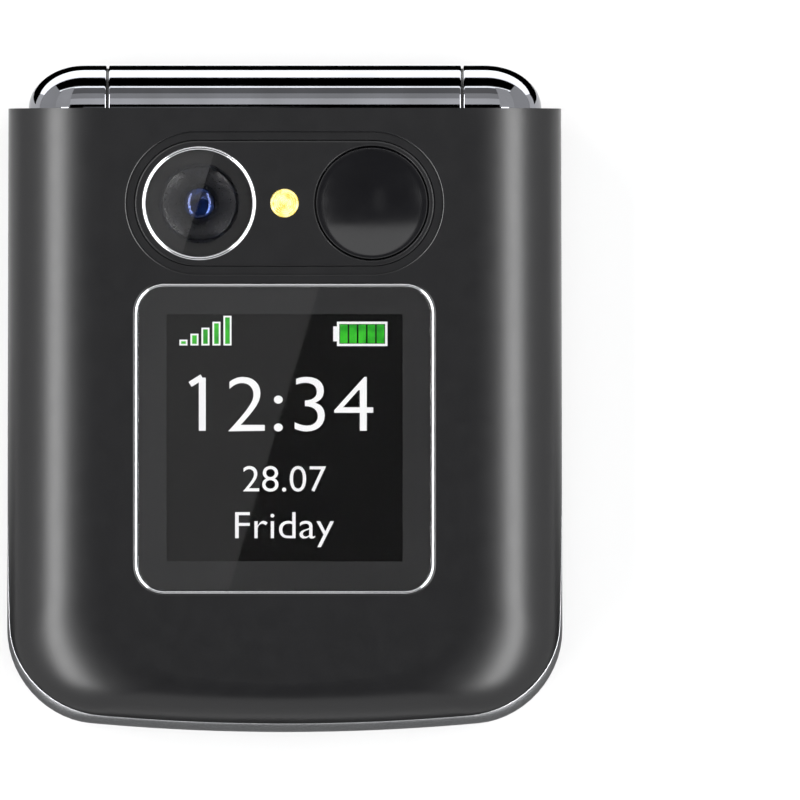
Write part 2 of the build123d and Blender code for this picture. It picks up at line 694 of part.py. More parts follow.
# ================================================================ base: inside
key_posts = [(x, row) for name, x, row, length in keys] + [(0, ring_centre)]
ring_posts = [(x, ring_centre) for x in (-ring_post_x, ring_post_x)]
with BuildPart() as key_membrane:
    with BuildSketch(down(membrane_low)):
        with Locations((0, at((membrane_start + membrane_end) / 2))):
            RectangleRounded(membrane_width, membrane_end - membrane_start, board_corner)
    extrude(amount=membrane_low - membrane_high)
    with BuildSketch(down(membrane_high)):
        for x, row in key_posts:
            with Locations((x, at(row))):
                Rectangle(membrane_post, membrane_post)
    extrude(amount=membrane_high - key_flange_depth - key_flange_thickness)
    with BuildSketch(down(membrane_high)):
        for x, row in ring_posts:
            with Locations((x, at(row))):
                Rectangle(membrane_post / 2, membrane_post)
    extrude(amount=membrane_high - key_flange_depth - key_flange_thickness - ring_drop)
    with BuildSketch(down(membrane_low)):
        for x, row in key_posts:
            with Locations((x, at(row))):
                Rectangle(pip_width, pip_width)
    extrude(amount=-membrane_pip)
finish(key_membrane, "key_membrane")

with BuildPart() as dome_sheet:
    with BuildSketch(down(membrane_low + membrane_pip)):
        with Locations((0, at((board_start + socket_start - 0.3) / 2))):
            Rectangle(board_width - 2, socket_start - 0.3 - board_start)
    extrude(amount=-(board_high - membrane_low - membrane_pip))
finish(dome_sheet, "dome_sheet")

with BuildPart() as main_board:
    with BuildSketch(down(board_high)):
        with Locations((0, at((board_start + board_end) / 2))):
            RectangleRounded(board_width, board_end - board_start, board_corner)
        with Locations((0, at(board_end))):
            Rectangle(socket_width, 2 * (board_end - socket_start), mode=Mode.SUBTRACT)
    extrude(amount=-(board_low - board_high))
finish(main_board, "main_board")

with BuildPart() as battery:
    with BuildSketch(down(floor_high)):
        with Locations((0, at(battery_centre))):
            RectangleRounded(battery_width, battery_length, 1.5)
    extrude(amount=-(battery_low - floor_high))
    chamfer(battery.edges().filter_by(Plane.XY), 0.4)
finish(battery, "battery")

for name, low, across, along in board_parts:
    with BuildPart() as board_part:
        mirror(block(board_low, low, across, along), about=parting_plane)
    finish(board_part, name)

with BuildPart() as vibration_motor:
    with BuildSketch(down(board_low)):
        with Locations((motor_x, at(motor_centre))):
            Circle(motor_radius)
    extrude(amount=-motor_thickness)
finish(vibration_motor, "vibration_motor")

with BuildPart() as antenna:
    mirror(block(floor_high, antenna_low, antenna_across, antenna_along), about=parting_plane)
finish(antenna, "antenna")

with BuildPart() as usb_socket:
    with BuildSketch(Plane.XZ.offset(-at(socket_start))):
        with Locations((0, half_thickness - socket_depth)):
            RectangleRounded(socket_width, socket_height, socket_height / 2 - 0.01)
    extrude(amount=socket_length)
    with BuildSketch(Plane.XZ.offset(-at(socket_start + 1.0))):
        with Locations((0, half_thickness - socket_depth)):
            RectangleRounded(socket_width - 2 * socket_wall, socket_height - 2 * socket_wall,
                             socket_height / 2 - socket_wall - 0.01)
            RectangleRounded(tongue_width, tongue_thickness, 0.2, mode=Mode.SUBTRACT)
    extrude(amount=socket_length, mode=Mode.SUBTRACT)
finish(usb_socket, "usb_socket")
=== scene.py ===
from math import asin, copysign, cos, pi, radians, sin, sqrt

import bmesh
import bpy
from mathutils import Matrix, Vector


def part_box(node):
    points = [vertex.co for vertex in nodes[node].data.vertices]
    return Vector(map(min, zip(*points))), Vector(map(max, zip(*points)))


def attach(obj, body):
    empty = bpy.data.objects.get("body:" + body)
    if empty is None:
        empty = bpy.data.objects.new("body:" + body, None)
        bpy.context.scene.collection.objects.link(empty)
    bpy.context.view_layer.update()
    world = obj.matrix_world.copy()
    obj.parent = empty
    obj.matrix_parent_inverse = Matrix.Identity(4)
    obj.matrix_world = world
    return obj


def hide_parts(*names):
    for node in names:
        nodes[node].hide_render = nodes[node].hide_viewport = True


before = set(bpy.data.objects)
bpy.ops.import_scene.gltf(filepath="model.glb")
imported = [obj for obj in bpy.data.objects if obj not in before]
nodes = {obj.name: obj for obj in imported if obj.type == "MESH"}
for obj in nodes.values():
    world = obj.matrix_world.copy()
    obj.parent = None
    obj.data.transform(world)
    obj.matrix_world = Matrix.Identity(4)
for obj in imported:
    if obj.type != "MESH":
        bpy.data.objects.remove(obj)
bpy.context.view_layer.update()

# ================================================================ driving dimensions, mm
# A name in _V is a distance from the hinge axis towards the free end, _X one across, _R a radius.
MM = 0.001                      # the frame is in metres
HALF = 9.5                      # thickness of one half, and the height of the parting plane
BODY_LENGTH = 67.1              # hinge axis to the free end
BODY_WIDTH, HINGE_END_WIDTH = 59.7, 59.4
BARREL = 4.6                    # radius of the hinge barrel
CORNER, BOW = 9.0, 230.0        # plan radii of the free end: corners, and the long bow between them
EDGE_WIDTH, EDGE_DEPTH = 10.0, 5.2   # rounded long edges of the covers: across and down
NOSE_LEVEL, NOSE_RADIUS, NOSE_LENGTH = 3.1, 3.0, 5.3   # the free end's rounding
STRIP_HIGH = 1.05               # top of the dark strip beside the parting gap
HALF_GAP, HINGE_GAP = 0.125, 0.1                        # half the parting gap; gap at the hinge end
COVER_WALL, FRAME_WALL = 1.2, 2.2
SEAM = 0.12                     # between the base frame and its removable cover
COVER_RIM, BAND_FOOT, BAND_RIM, STRIP_FOOT, STRIP_RIM = 0.12, 0.1, 0.04, 0.15, 0.08   # small roundings
FRAME_START, FRAME_END = 5.95, 64.0                     # inside of a band's end walls
FLOOR_LOW, FLOOR_HIGH = 3.5, 4.3                        # floor between a half's band walls
FLOOR_PLATE, FLOOR_V = (55.4, 58.9, 7.0), 34.95         # width, length, corner radius; middle
NOTCH, NOTCH_END = 4.85, 27.85  # room in the halves for the barrel: radius, half length
BACKING, BACKING_HALF, BACKING_TURN = 1.05, 28.9, (40, 88)      # wall behind the barrel; its degrees
TROUGH_HALF, TROUGH_TOP, TROUGH_LIP, TROUGH_ROOM = 27.0, 3.8, 6.78, 6.5     # the base's, for the barrel
THROUGH = 2                     # a cutter's depth where it has to come out at the far side
SKIN = 0.0001                   # an inset that only turns a corner

# Edge between a cover and the silver band: distance from the hinge axis, height.
BAND_EDGE = ((-2.0, 4.0), (18.0, 4.08), (36.0, 4.5), (52.0, 5.15), (63.6, 6.2), (69.0, 7.0))

# Lid's outer face: window and plate are a width, a length and, where there is one, a corner radius.
WINDOW = (32.2, 33.3, 3.2)      # outer window's place in the lid
WINDOW_V, WINDOW_DEPTH, WINDOW_RECESS, WINDOW_LEDGE = 35.55, 0.9, 0.08, 1.7
RIM = 0.35                      # bright frame round the outer window
SCREEN, SCREEN_V = (25.3, 26.5), 35.45                  # lit area of the outer display
DISPLAY, DISPLAY_BACK = (30.5, 31.6, 0.3), 5.4          # the display itself
ISLAND = (34.0, 15.3)           # plate round camera, flash and round key
ISLAND_V, ISLAND_STEP, ISLAND_DROP, ISLAND_BACK, ISLAND_FACE = 10.3, 0.85, 0.3, 7.6, 9.3
CAMERA_X, CAMERA_R, CAMERA_RING, CAMERA_SEAT, CAMERA_PROUD = -9.16, 6.16, 0.46, 0.6, 0.2
CAMERA_BARREL, LENS_R, LENS_RISE, IRIS = 4.3, 1.7, 0.55, (0.62, 1.1)
CAMERA_BODY, CAMERA_LOW, CAMERA_HIGH = (9.4, 9.4, 0.6), 5.1, 7.4
FLASH_R, FLASH_SEAT = 1.54, 0.8
KEY_X, ROUND_KEY_R, ROUND_KEY_BACK, DISH, DISH_RIM = 9.36, 6.0, 7.65, 0.6, 0.3
ROUND_KEY_TABS, PLUNGER_R, PLUNGER_FOOT = (0.6, 4.0, 0.5), 1.5, 7.2         # tabs: reach, width, height

# Lid's inner face, charging socket, and small openings of the base.
INNER_WINDOW, INNER_WINDOW_V = (40.6, 52.0, 1.5), 33.6
INNER_SCREEN = (36.7, 49.0)     # lit area of a 2.4-inch panel
EARPIECE_V, EARPIECE = 62.0, (10.0, 1.3)
SOCKET, SOCKET_START, SOCKET_DEPTH, SOCKET_GAP = (8.94, 3.26, 7.0), 59.2, 4.2, 0.18
SOCKET_WALL, TONGUE, CONTACT, CONTACT_PITCH = 0.3, (6.7, 0.7), (0.28, 0.76), 0.75
SLOT, SLOT_PITCH, SLOT_X, SLOT_V = (8.0, 0.9), 1.9, 15.3, 15.4      # loudspeaker slots
MICROPHONE, MICROPHONE_X, MICROPHONE_V = 1.0, 8, 63
BUMPER_X, BUMPER_V, BUMPER, BUMPER_SEAT = 24.6, 58.9, (2.6, 5.2), 0.45

# Keys: heights are off the parting plane, into the base.
KEY_GAP, KEY_CROWN, KEY_FLANGE_DEPTH, KEY_FLANGE = 0.25, 0.2, 1.2, 0.3
KEY_WIDER, KEY_SHORTER = 1, 2.2                         # a flange against its key, across and along
KEY_SOFT, CROWN = 0.3, ((0.4, 0.03), (0.35, 0.012))     # a key's rounded edge; its crown, in steps
KEY_SIZE, KEY_CORNER, SIDE_LENGTH, KEY_PITCH = (15.4, 7.8), 1.5, 6.0, 17.4
DIGIT_ROWS = (28.2, 37.8, 47.4, 57.0)
SOFT_ROW, CALL_ROW = 10.9, 18.9
RING_V, RING_R, RING_BORE, RING_DROP, OK_R = 14.9, 7.4, 4.0, 0.1, 3.7
RING_TAB, RING_MARK = (0.9, 4.4), 0.75

# Hinge: places along the barrel from its middle; lugs and film by distance and height off its axis.
DOME_START, DOME_LENGTH, KNUCKLE_END, CAP_START = 21.56, 6.04, 18.95, 19.2
LUG_START, LUG_REACH, LUG_LOW, LUG_HIGH = 2.5, 6.8, 1.3, 3.3
BARREL_SOFT = 0.12              # rounding of a barrel section's edge
FILM, FILM_BASE, FILM_LID = 0.15, (-24.9, -22.5), (-17.7, -15.3)    # film circuit: thickness, X of tails
FILM_DEPTH, FILM_RISE, FILM_REACH = 2.7, 2.3, 8.0
CENTRE_LUG, CAP_LUG = (-14.0, 14.0), (20.6, 26.3)

AXIS_Y = (BODY_LENGTH - BARREL) / 2
CORE = BODY_WIDTH / 2 - CORNER                          # half width between the corner centres
CORNER_START = BODY_LENGTH - CORNER - (BODY_WIDTH / 2) ** 2 / (2 * BOW)
SHOULDER = HALF - EDGE_DEPTH
LID, BASE = 1, -1                                       # which way a half's heights run
CAMERA_DISTANCE, CAMERA_SPOT = 2.0, (12.38, -0.15)       # metres above the lid; place over it in mm
VIEW_WIDTH = 85.74              # width of the view at the lid's height
SOFTBOX_TILT, SOFTBOX, SOFTBOX_FAR, SOFTBOX_POWER = radians(33), (1.6, 0.24), 1.1, 13.5  # metres, watts
FLOOR_GLOW, WORLD_LIGHT = 0.55, 0.35
FLAT_KEPT = 16.0                # steps over this many degrees keep a flat face's shading flat
LEVEL = 0.99999                 # faces whose normal is this upright shade flat
SHEET = 0.01                    # height of printing over what it is printed on


def at(v):
    """Y of a place at this distance from the hinge axis."""
    return AXIS_Y - v


def level(height, half=LID):
    """Z of a height off the parting plane, in the lid or in the base."""
    return HALF + half * height


# ================================================================ materials
def linear(code):
    """sRGB hex to linear colour."""
    parts = [int(code[i:i + 2], 16) / 255 for i in (1, 3, 5)]
    return tuple(c / 12.92 if c <= 0.04045 else ((c + 0.055) / 1.055) ** 2.4 for c in parts) + (1.0,)


def add(tree, kind, inputs=(), **settings):
    """Adds a node with its settings; an input is a value, or another node's output to link."""
    made = tree.nodes.new(kind)
    for name, value in settings.items():
        setattr(made, name, value)
    for name, value in dict(inputs).items():
        if isinstance(value, bpy.types.NodeSocket):
            tree.links.new(value, made.inputs[name])
        else:
            made.inputs[name].default_value = value
    return made


def blank(owner):
    """Empty node tree of a material or world."""
    owner.use_nodes = True
    owner.node_tree.nodes.clear()
    return owner.node_tree


def start(name, **values):
    """A node material with its surface shader: returns the material, its tree and the shader."""
    made = bpy.data.materials.new(name)
    tree = blank(made)
    sockets = {key.replace("_", " "): value for key, value in values.items()}
    shader = add(tree, "ShaderNodeBsdfPrincipled", sockets)
    add(tree, "ShaderNodeOutputMaterial", {"Surface": shader.outputs["BSDF"]})
    return made, tree, shader


def grain(tree, size, detail=2.0):
    """Noise with features of about this many mm."""
    place = add(tree, "ShaderNodeTexCoord")
    scale = add(tree, "ShaderNodeMapping", {"Vector": place.outputs["Object"],
                                            "Scale": (1 / (size * MM),) * 3})
    return add(tree, "ShaderNodeTexNoise", {"Vector": scale.outputs["Vector"], "Scale": 1.0,
                                            "Detail": detail})


def tint(tree, shader, pattern, dark, light, socket="Base Color"):
    """Colour that wanders between two hex values with a pattern, over the middle of its range."""
    ramp = add(tree, "ShaderNodeValToRGB", {"Fac": pattern.outputs[0]})
    for stop, position, code in zip(ramp.color_ramp.elements, (0.35, 0.65), (dark, light)):
        stop.position, stop.color = position, linear(code)
    tree.links.new(ramp.outputs["Color"], shader.inputs[socket])


def polish(tree, shader, pattern, low, high):
    """Roughness that wanders between two values with a pattern, over the middle of its range."""
    spread = add(tree, "ShaderNodeMapRange", {"Value": pattern.outputs[0], "From Min": 0.3,
                                              "From Max": 0.7, "To Min": low, "To Max": high})
    tree.links.new(spread.outputs["Result"], shader.inputs["Roughness"])


def relief(tree, shader, pattern, depth, strength):
    """Surface relief of this many mm from a pattern."""
    bump = add(tree, "ShaderNodeBump", {"Height": pattern.outputs[0], "Strength": strength,
                                        "Distance": depth * MM})
    tree.links.new(bump.outputs["Normal"], shader.inputs["Normal"])


def graphite_lacquer():
    """Lacquered moulded ABS: dark graphite with a fine grain in its colour, and a satin shine."""
    made, tree, shader = start("graphite_lacquered_abs", IOR=1.5)
    tint(tree, shader, grain(tree, 0.12), "#09090b", "#0f0f11")
    peel = grain(tree, 1.8, 1.0)
    polish(tree, shader, peel, 0.275, 0.29)
    relief(tree, shader, peel, 0.0008, 0.3)
    return made


def gloss_lacquer():
    """Polished black lacquer: mirrors softly, with a faint haze from handling."""
    made, tree, shader = start("polished_black_lacquer", IOR=1.5)
    tint(tree, shader, grain(tree, 0.12), "#101012", "#141416")
    polish(tree, shader, grain(tree, 2.5, 1.0), 0.12, 0.16)
    return made


def satin_silver():
    """Satin-plated ABS: bright, with a fine even blast that softens what it mirrors."""
    made, tree, shader = start("satin_plated_silver", Metallic=1.0)
    tint(tree, shader, grain(tree, 0.3), "#b6b7ba", "#c2c3c6")
    blast = grain(tree, 0.1)
    polish(tree, shader, blast, 0.3, 0.38)
    relief(tree, shader, blast, 0.003, 0.5)
    return made


def moulded(name, dark, light, rough, size=0.15):
    """Moulded plastic with a spark-eroded texture."""
    made, tree, shader = start(name, IOR=1.5)
    texture = grain(tree, size)
    tint(tree, shader, texture, dark, light)
    polish(tree, shader, texture, rough - 0.04, rough + 0.04)
    relief(tree, shader, texture, 0.008, 0.6)
    return made


def plated(name, dark, light, low, high):
    """Polished plating: mirror bright, with faint haze in broad patches."""
    made, tree, shader = start(name, Metallic=1.0)
    haze = grain(tree, 6.0)
    tint(tree, shader, haze, dark, light)
    polish(tree, shader, haze, low, high)
    return made


def clear_glass(name, ior):
    """Clear window, with a hard coat that is a little softer in places."""
    made, tree, shader = start(name, Transmission_Weight=1.0, IOR=ior)
    polish(tree, shader, grain(tree, 5.0), 0.0, 0.012)
    return made


def printed(name, dark, light, low, high):
    """Flat dark layer behind a window: smooth, and without a shine of its own."""
    made, tree, shader = start(name, IOR=1.4)
    tint(tree, shader, grain(tree, 0.2), dark, light)
    polish(tree, shader, grain(tree, 0.2), low, high)
    return made


def lit(name, low, high, size=8.0, strength=1.0):
    """Lit part of a display, a little uneven from its backlight."""
    made, tree, shader = start(name, Base_Color=linear("#050505"), Roughness=0.4, Emission_Strength=strength)
    tint(tree, shader, grain(tree, size, 1.0), low, high, "Emission Color")
    return made


def phosphor_lens():
    """Moulded flash resin: pale yellow from the phosphor behind it, glossy where it isn't ribbed."""
    made, tree, shader = start("phosphor_yellow_lens", IOR=1.5)
    tint(tree, shader, grain(tree, 0.7), "#d9bd52", "#f1e3a4")
    polish(tree, shader, grain(tree, 0.4), 0.2, 0.3)
    return made


def lens_coating():
    """Front lens element: deep blue-violet from its anti-reflection coating."""
    made, tree, shader = start("coated_lens_glass", Metallic=0.6, IOR=1.8)
    tint(tree, shader, grain(tree, 1.6), "#0b1230", "#2a4a96")
    polish(tree, shader, grain(tree, 2.0), 0.03, 0.08)
    return made


GRAPHITE = graphite_lacquer()
GLOSS_BLACK = gloss_lacquer()
SILVER = satin_silver()
PHOSPHOR = phosphor_lens()
COATED_LENS = lens_coating()
# Dull dark grey between the bright bands, and round the keys.
STRIP = moulded("dark_grey_moulded_abs", "#38393c", "#404145", 0.42)
# Smoky mirror: dark and bright lines along the barrel.
BLACK_CHROME = plated("black_chrome_plating", "#77787c", "#808186", 0.03, 0.06)
# Clean white mirror on the thin rims.
CHROME = plated("bright_chrome_plating", "#dcdde0", "#e6e7ea", 0.03, 0.07)
# Clear sheet with a faint mirror image; the harder camera glass mirrors more.
GLASS = clear_glass("clear_window_acrylic", 1.49)
CAMERA_GLASS = clear_glass("hard_camera_glass", 1.7)
# Near-black border round a display, and the display itself, which is darker still.
INK = printed("black_window_print", "#19191b", "#1c1c1e", 0.4, 0.5)
PANEL = printed("display_black", "#020203", "#040405", 0.3, 0.35)
# Figures and signs that glow through the window.
LIT_WHITE = lit("backlit_white", "#f6f6f8", "#ffffff", strength=1.3)
LIT_GREEN = lit("backlit_green", "#18b01a", "#3fe02c", 1.2)
# Matt black of unpainted inner parts.
BLACK_PLASTIC = moulded("black_moulded_plastic", "#131314", "#19191b", 0.45)
# Dark keys with a soft sheen; the call and end keys in clear green and red.
KEY_PLASTIC = moulded("soft_grey_key_plastic", "#232427", "#2a2b2e", 0.38)
GREEN_KEY = moulded("green_key_plastic", "#1b7433", "#21823b", 0.38)
RED_KEY = moulded("red_key_plastic", "#9c2420", "#ab2b26", 0.38)
# Matt white letters on the keys.
WHITE_PRINT = moulded("white_key_print", "#e4e5e8", "#f0f1f4", 0.5)
# Blurred mirror on the direction ring.
KEY_METAL = plated("satin_key_plating", "#9a9ba0", "#a8a9ae", 0.22, 0.27)
# Very dark blue that lets the lens stand out.
WELL = moulded("blue_black_camera_well", "#0c0e16", "#10131d", 0.3)
# Amber film with a soft shine.
POLYIMIDE = moulded("amber_polyimide_film", "#8a4a12", "#9c5a1a", 0.35)
# Dull black without a highlight.
RUBBER = moulded("black_rubber", "#0d0d0e", "#121213", 0.7, 0.3)
# Warm grey metal of stamped and turned parts, and the yellow of their contacts.
NICKEL = plated("nickel_plating", "#b9b6b0", "#c6c3bd", 0.16, 0.24)
GOLD = plated("gold_contact_plating", "#c9a24a", "#dab55e", 0.15, 0.25)
# Glossy dark green of a circuit board.
BOARD = moulded("green_solder_mask", "#0a2c16", "#0e3a1e", 0.25, 0.4)
# Black shrink film, a little glossy.
WRAP = moulded("battery_film_wrap", "#141416", "#1c1c1f", 0.45)
# Cloudy white mat under the keys.
SILICONE = moulded("milky_silicone", "#b4b5b3", "#c2c3c1", 0.5)


# ================================================================ making pieces
def put(name, data):
    """New object in the scene."""
    made = bpy.data.objects.new(name, data)
    bpy.context.scene.collection.objects.link(made)
    return made


def outward(bm):
    """Merges doubles in a closed shell and turns its faces outwards."""
    bmesh.ops.remove_doubles(bm, verts=bm.verts, dist=0.0004)
    bmesh.ops.recalc_face_normals(bm, faces=bm.faces)
    if bm.calc_volume(signed=True) < 0:
        bmesh.ops.reverse_faces(bm, faces=bm.faces)
    return bm


def finish_piece(shapes, name, materials, body, replaces=(), crease=30.0):
    """Turns closed shapes in mm, each alone or with its material's number, into one piece."""
    mesh = bpy.data.meshes.new(name)
    whole = bmesh.new()
    for shape in shapes:
        bm, number = shape if isinstance(shape, tuple) else (shape, None)
        outward(bm)
        for face in bm.faces:
            face.smooth = abs(face.normal.z) < LEVEL
            if number is not None:
                face.material_index = number
        for edge in bm.edges:
            edge.smooth = edge.calc_face_angle(0.0) < radians(crease)
        bm.to_mesh(mesh)
        bm.free()
        whole.from_mesh(mesh)
    bmesh.ops.scale(whole, vec=(MM, MM, MM), verts=whole.verts)
    whole.to_mesh(mesh)
    whole.free()
    for material in materials:
        mesh.materials.append(material)
    piece = put(name, mesh)
    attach(piece, body)
    if replaces:
        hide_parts(*replaces)


def carve(bm, *cutters):
    """What is left of a closed shape when the cutters are taken out of it."""
    temporary = []
    for shape in (bm, *cutters):
        bmesh.ops.triangulate(shape, faces=shape.faces)
        mesh = bpy.data.meshes.new("carving")
        outward(shape).to_mesh(mesh)
        shape.free()
        temporary.append(put("carving", mesh))
    solid = temporary[0]
    for cutter in temporary[1:]:
        cut = solid.modifiers.new("cut", "BOOLEAN")
        cut.operation, cut.solver, cut.object = "DIFFERENCE", "EXACT", cutter
    graph = bpy.context.evaluated_depsgraph_get()
    result = bpy.data.meshes.new_from_object(solid.evaluated_get(graph))
    left = bmesh.new()
    left.from_mesh(result)
    for thing in temporary:
        mesh = thing.data
        bpy.data.objects.remove(thing)
        bpy.data.meshes.remove(mesh)
    bpy.data.meshes.remove(result)
    return left


def quarter(inward, upward):
    """Steps of a quarter round that turns inwards."""
    turns = [pi / 8 * k for k in range(5)]
    return [(inward * (cos(a) - cos(b)), upward * (sin(b) - sin(a))) for a, b in zip(turns, turns[1:])]


def soft_edge(radius, top, size, turn=pi / 2, steps=6):
    """Points of a turned piece's rounded upper edge, from its side inwards."""
    turns = [turn * k / steps for k in range(steps + 1)]
    return [(radius - size * (1 - cos(a)), top - size * (1 - sin(a))) for a in turns]


def plate(bm, width, length, radius, x, v, z, segments=8):
    """Level rounded rectangle, as one face."""
    before = set(bm.faces)
    small = min(width, length) / 2
    if radius > small - 0.05:                       # fully round ends
        spots = bmesh.ops.create_circle(bm, cap_ends=True, segments=4 * segments, radius=small)["verts"]
        for vert in spots:
            for way, size in enumerate((width, length)):
                if abs(vert.co[way]) > 0.0001:
                    vert.co[way] += copysign(size / 2 - small, vert.co[way])
        bmesh.ops.translate(bm, vec=(x, at(v), z), verts=spots)
        return next(face for face in bm.faces if face not in before)
    place = Matrix.Translation((x, at(v), z)) @ Matrix.Diagonal((width, length, 1, 1))
    corners = bmesh.ops.create_grid(bm, x_segments=1, y_segments=1, size=0.5, matrix=place)["verts"]
    if radius:
        bmesh.ops.bevel(bm, geom=corners, offset=radius, offset_type="OFFSET", segments=segments,
                        profile=0.5, affect="VERTICES", material=-1)
    return next(face for face in bm.faces if face not in before)


def thicken(bm, face, upward):
    """Extrudes a lone face into a closed block and returns its far face."""
    made = bmesh.ops.extrude_face_region(bm, geom=[face])["geom"]
    far = next(part for part in made if isinstance(part, bmesh.types.BMFace))
    bmesh.ops.translate(bm, vec=(0, 0, upward), verts=far.verts)
    return far


def rise(bm, face, steps):
    """Draws a face on by (inward, upward) steps, each leaving a band of faces behind it."""
    for inward, upward in steps:
        bmesh.ops.inset_region(bm, faces=[face], thickness=inward, use_boundary=True,
                               use_even_offset=True)
        bmesh.ops.translate(bm, vec=(0, 0, upward), verts=face.verts)
        face.normal_update()
    return face


def block(face_maker, first, steps=()):
    """Closed solid from a face, a first straight rise and further steps."""
    bm = bmesh.new()
    face = face_maker(bm)
    top = thicken(bm, face, first)
    rise(bm, top, steps)
    return bm


def slab(width, length, radius, x, v, low, high, edge=0.0, segments=8):
    """Closed level plate between two Z, its upper edge rounded."""
    steps = [*quarter(edge, copysign(edge, high - low)), (edge / 2, 0)] if edge else ()
    return block(lambda bm: plate(bm, width, length, radius, x, v, low, segments),
                 high - low - copysign(edge, high - low), steps)


def turned(profile, centre, along_x=False, steps=96):
    """Solid of revolution from (radius, along) points, upright or along X."""
    bm = bmesh.new()
    axis = (1, 0, 0) if along_x else (0, 0, 1)
    spots = [(along, radius, 0) if along_x else (radius, 0, along) for radius, along in profile]
    verts = [bm.verts.new(Vector(centre) + Vector(spot)) for spot in spots]
    edges = [bm.edges.new(pair) for pair in zip(verts, verts[1:])]
    bmesh.ops.spin(bm, geom=verts + edges, cent=centre, axis=axis, angle=2 * pi, steps=steps,
                   use_merge=True)
    bmesh.ops.remove_doubles(bm, verts=bm.verts, dist=0.0005)
    return bm


def ring_of(profile, centre, steps=96):
    """Turned ring: the profile closes on itself."""
    return turned([*profile, profile[0]], centre, steps=steps)


def flat_ring(inner, outer, low, high, centre):
    """Flat ring between two radii and two Z."""
    return ring_of([(inner, low), (outer, low), (outer, high), (inner, high)], centre)


# ================================================================ forms that both halves share
def band(v):
    """Height of the edge between a cover and the silver band: a smooth curve through its points."""
    number = max(i for i in range(len(BAND_EDGE) - 1) if BAND_EDGE[i][0] <= v)
    (v0, t0), (v1, t1) = BAND_EDGE[number], BAND_EDGE[number + 1]

    def slope(i):
        low, high = BAND_EDGE[max(i - 1, 0)], BAND_EDGE[min(i + 1, len(BAND_EDGE) - 1)]
        return (high[1] - low[1]) / (high[0] - low[0])

    span, u = v1 - v0, (v - v0) / (v1 - v0)
    return ((1 + 2 * u) * (1 - u) ** 2 * t0 + u * (1 - u) ** 2 * span * slope(number)
            + u * u * (3 - 2 * u) * t1 + u * u * (u - 1) * span * slope(number + 1))


def side_inset(height, wall=0.0):
    """How far the rounded long edge has drawn in at a height."""
    turn = min(1.0, max(0.0, (height - SHOULDER) / (EDGE_DEPTH - wall)))
    return (EDGE_WIDTH - wall) * (1 - sqrt(1 - turn**2))


def free_end(height, wall=0.0):
    """Distance from the hinge axis to the free end at a height."""
    if height < NOSE_LEVEL:
        return BODY_LENGTH - wall - NOSE_RADIUS + sqrt(NOSE_RADIUS**2 - (NOSE_LEVEL - height) ** 2)
    turn = min(1.0, (height - NOSE_LEVEL) / (HALF - NOSE_LEVEL - wall))
    return BODY_LENGTH - NOSE_LENGTH + (NOSE_LENGTH - wall) * sqrt(1 - turn**2)


def plan_loop(bm):
    """Outline of a half at its widest, as a loop of edges; a layer keeps each point's plan place."""
    plan = bm.verts.layers.float_vector.new("plan")
    corners = bmesh.ops.create_grid(bm, x_segments=1, y_segments=1, size=0.5)["verts"]
    for vert in corners:
        near = vert.co.y > 0
        vert.co = (copysign((HINGE_END_WIDTH if near else BODY_WIDTH) / 2, vert.co.x),
                   HINGE_GAP if near else BODY_LENGTH, 0)
    free = [vert for vert in corners if vert.co.y > CORNER]
    bmesh.ops.bevel(bm, geom=free, offset=CORNER, offset_type="OFFSET", segments=14,
                    profile=0.5, affect="VERTICES", material=-1)
    bowed = max(bm.edges, key=lambda edge: min(vert.co.y for vert in edge.verts))
    bmesh.ops.subdivide_edges(bm, edges=[bowed], cuts=31)
    for vert in bm.verts:
        turn = min(1.0, max(0.0, (vert.co.y - BODY_LENGTH + CORNER) / CORNER))
        vert[plan] = (0, 0, turn)
        if vert.co.y > CORNER:
            vert.co.y -= vert.co.x**2 / (2 * BOW)
    straight = [edge for edge in bm.edges if edge.calc_length() > 2 * CORNER]
    bmesh.ops.subdivide_edges(bm, edges=straight, cuts=31)
    for vert in bm.verts:
        vert[plan] = (vert.co.x, vert.co.y, vert[plan].z)
    bmesh.ops.delete(bm, geom=bm.faces[:], context="FACES_ONLY")
    return bm.edges[:]


def settle(bm, loop, half, height_at, pull=0.0, wall=0.0, hinge=HINGE_GAP, rounded=True,
           end=BODY_LENGTH):
    """Puts a loop's points on the half's form, at a height that may change along the half."""
    plan = bm.verts.layers.float_vector["plan"]
    for vert in {vert for edge in loop for vert in edge.verts}:
        x, v, turn = vert[plan]
        height = height_at(v)
        inward = pull + (side_inset(height, wall) if rounded else 0)
        back = pull + (BODY_LENGTH - wall - free_end(height, wall) if rounded else 0)
        x -= copysign(wall * min(1.0, max(0.0, (abs(x) - CORE) / CORNER)), x)
        v -= (wall if rounded else BODY_LENGTH - end) * turn
        if v < CORNER_START:
            near = hinge + pull
            v = near + (v - HINGE_GAP) * (CORNER_START - near) / (CORNER_START - HINGE_GAP)
        x = x * (1 - inward / CORE) if abs(x) < CORE + 0.01 else x - copysign(inward, x)
        v = v * (1 - back / CORNER_START) if v < CORNER_START - 0.01 else v - back
        vert.co = (x, at(v), level(height, half))


def skin(bm, half, rings):
    """Wall of a half drawn on through rings; returns its first and last loop."""
    first = loop = plan_loop(bm)
    settle(bm, loop, half, **rings[0])
    for ring in rings[1:]:
        made = bmesh.ops.extrude_edge_only(bm, edges=loop)["geom"]
        new = {part for part in made if isinstance(part, bmesh.types.BMVert)}
        loop = [part for part in made
                if isinstance(part, bmesh.types.BMEdge) and set(part.verts) <= new]
        settle(bm, loop, half, **ring)
    return first, loop


def fixed(height):
    """A height that is the same all along the half."""
    return lambda v: height


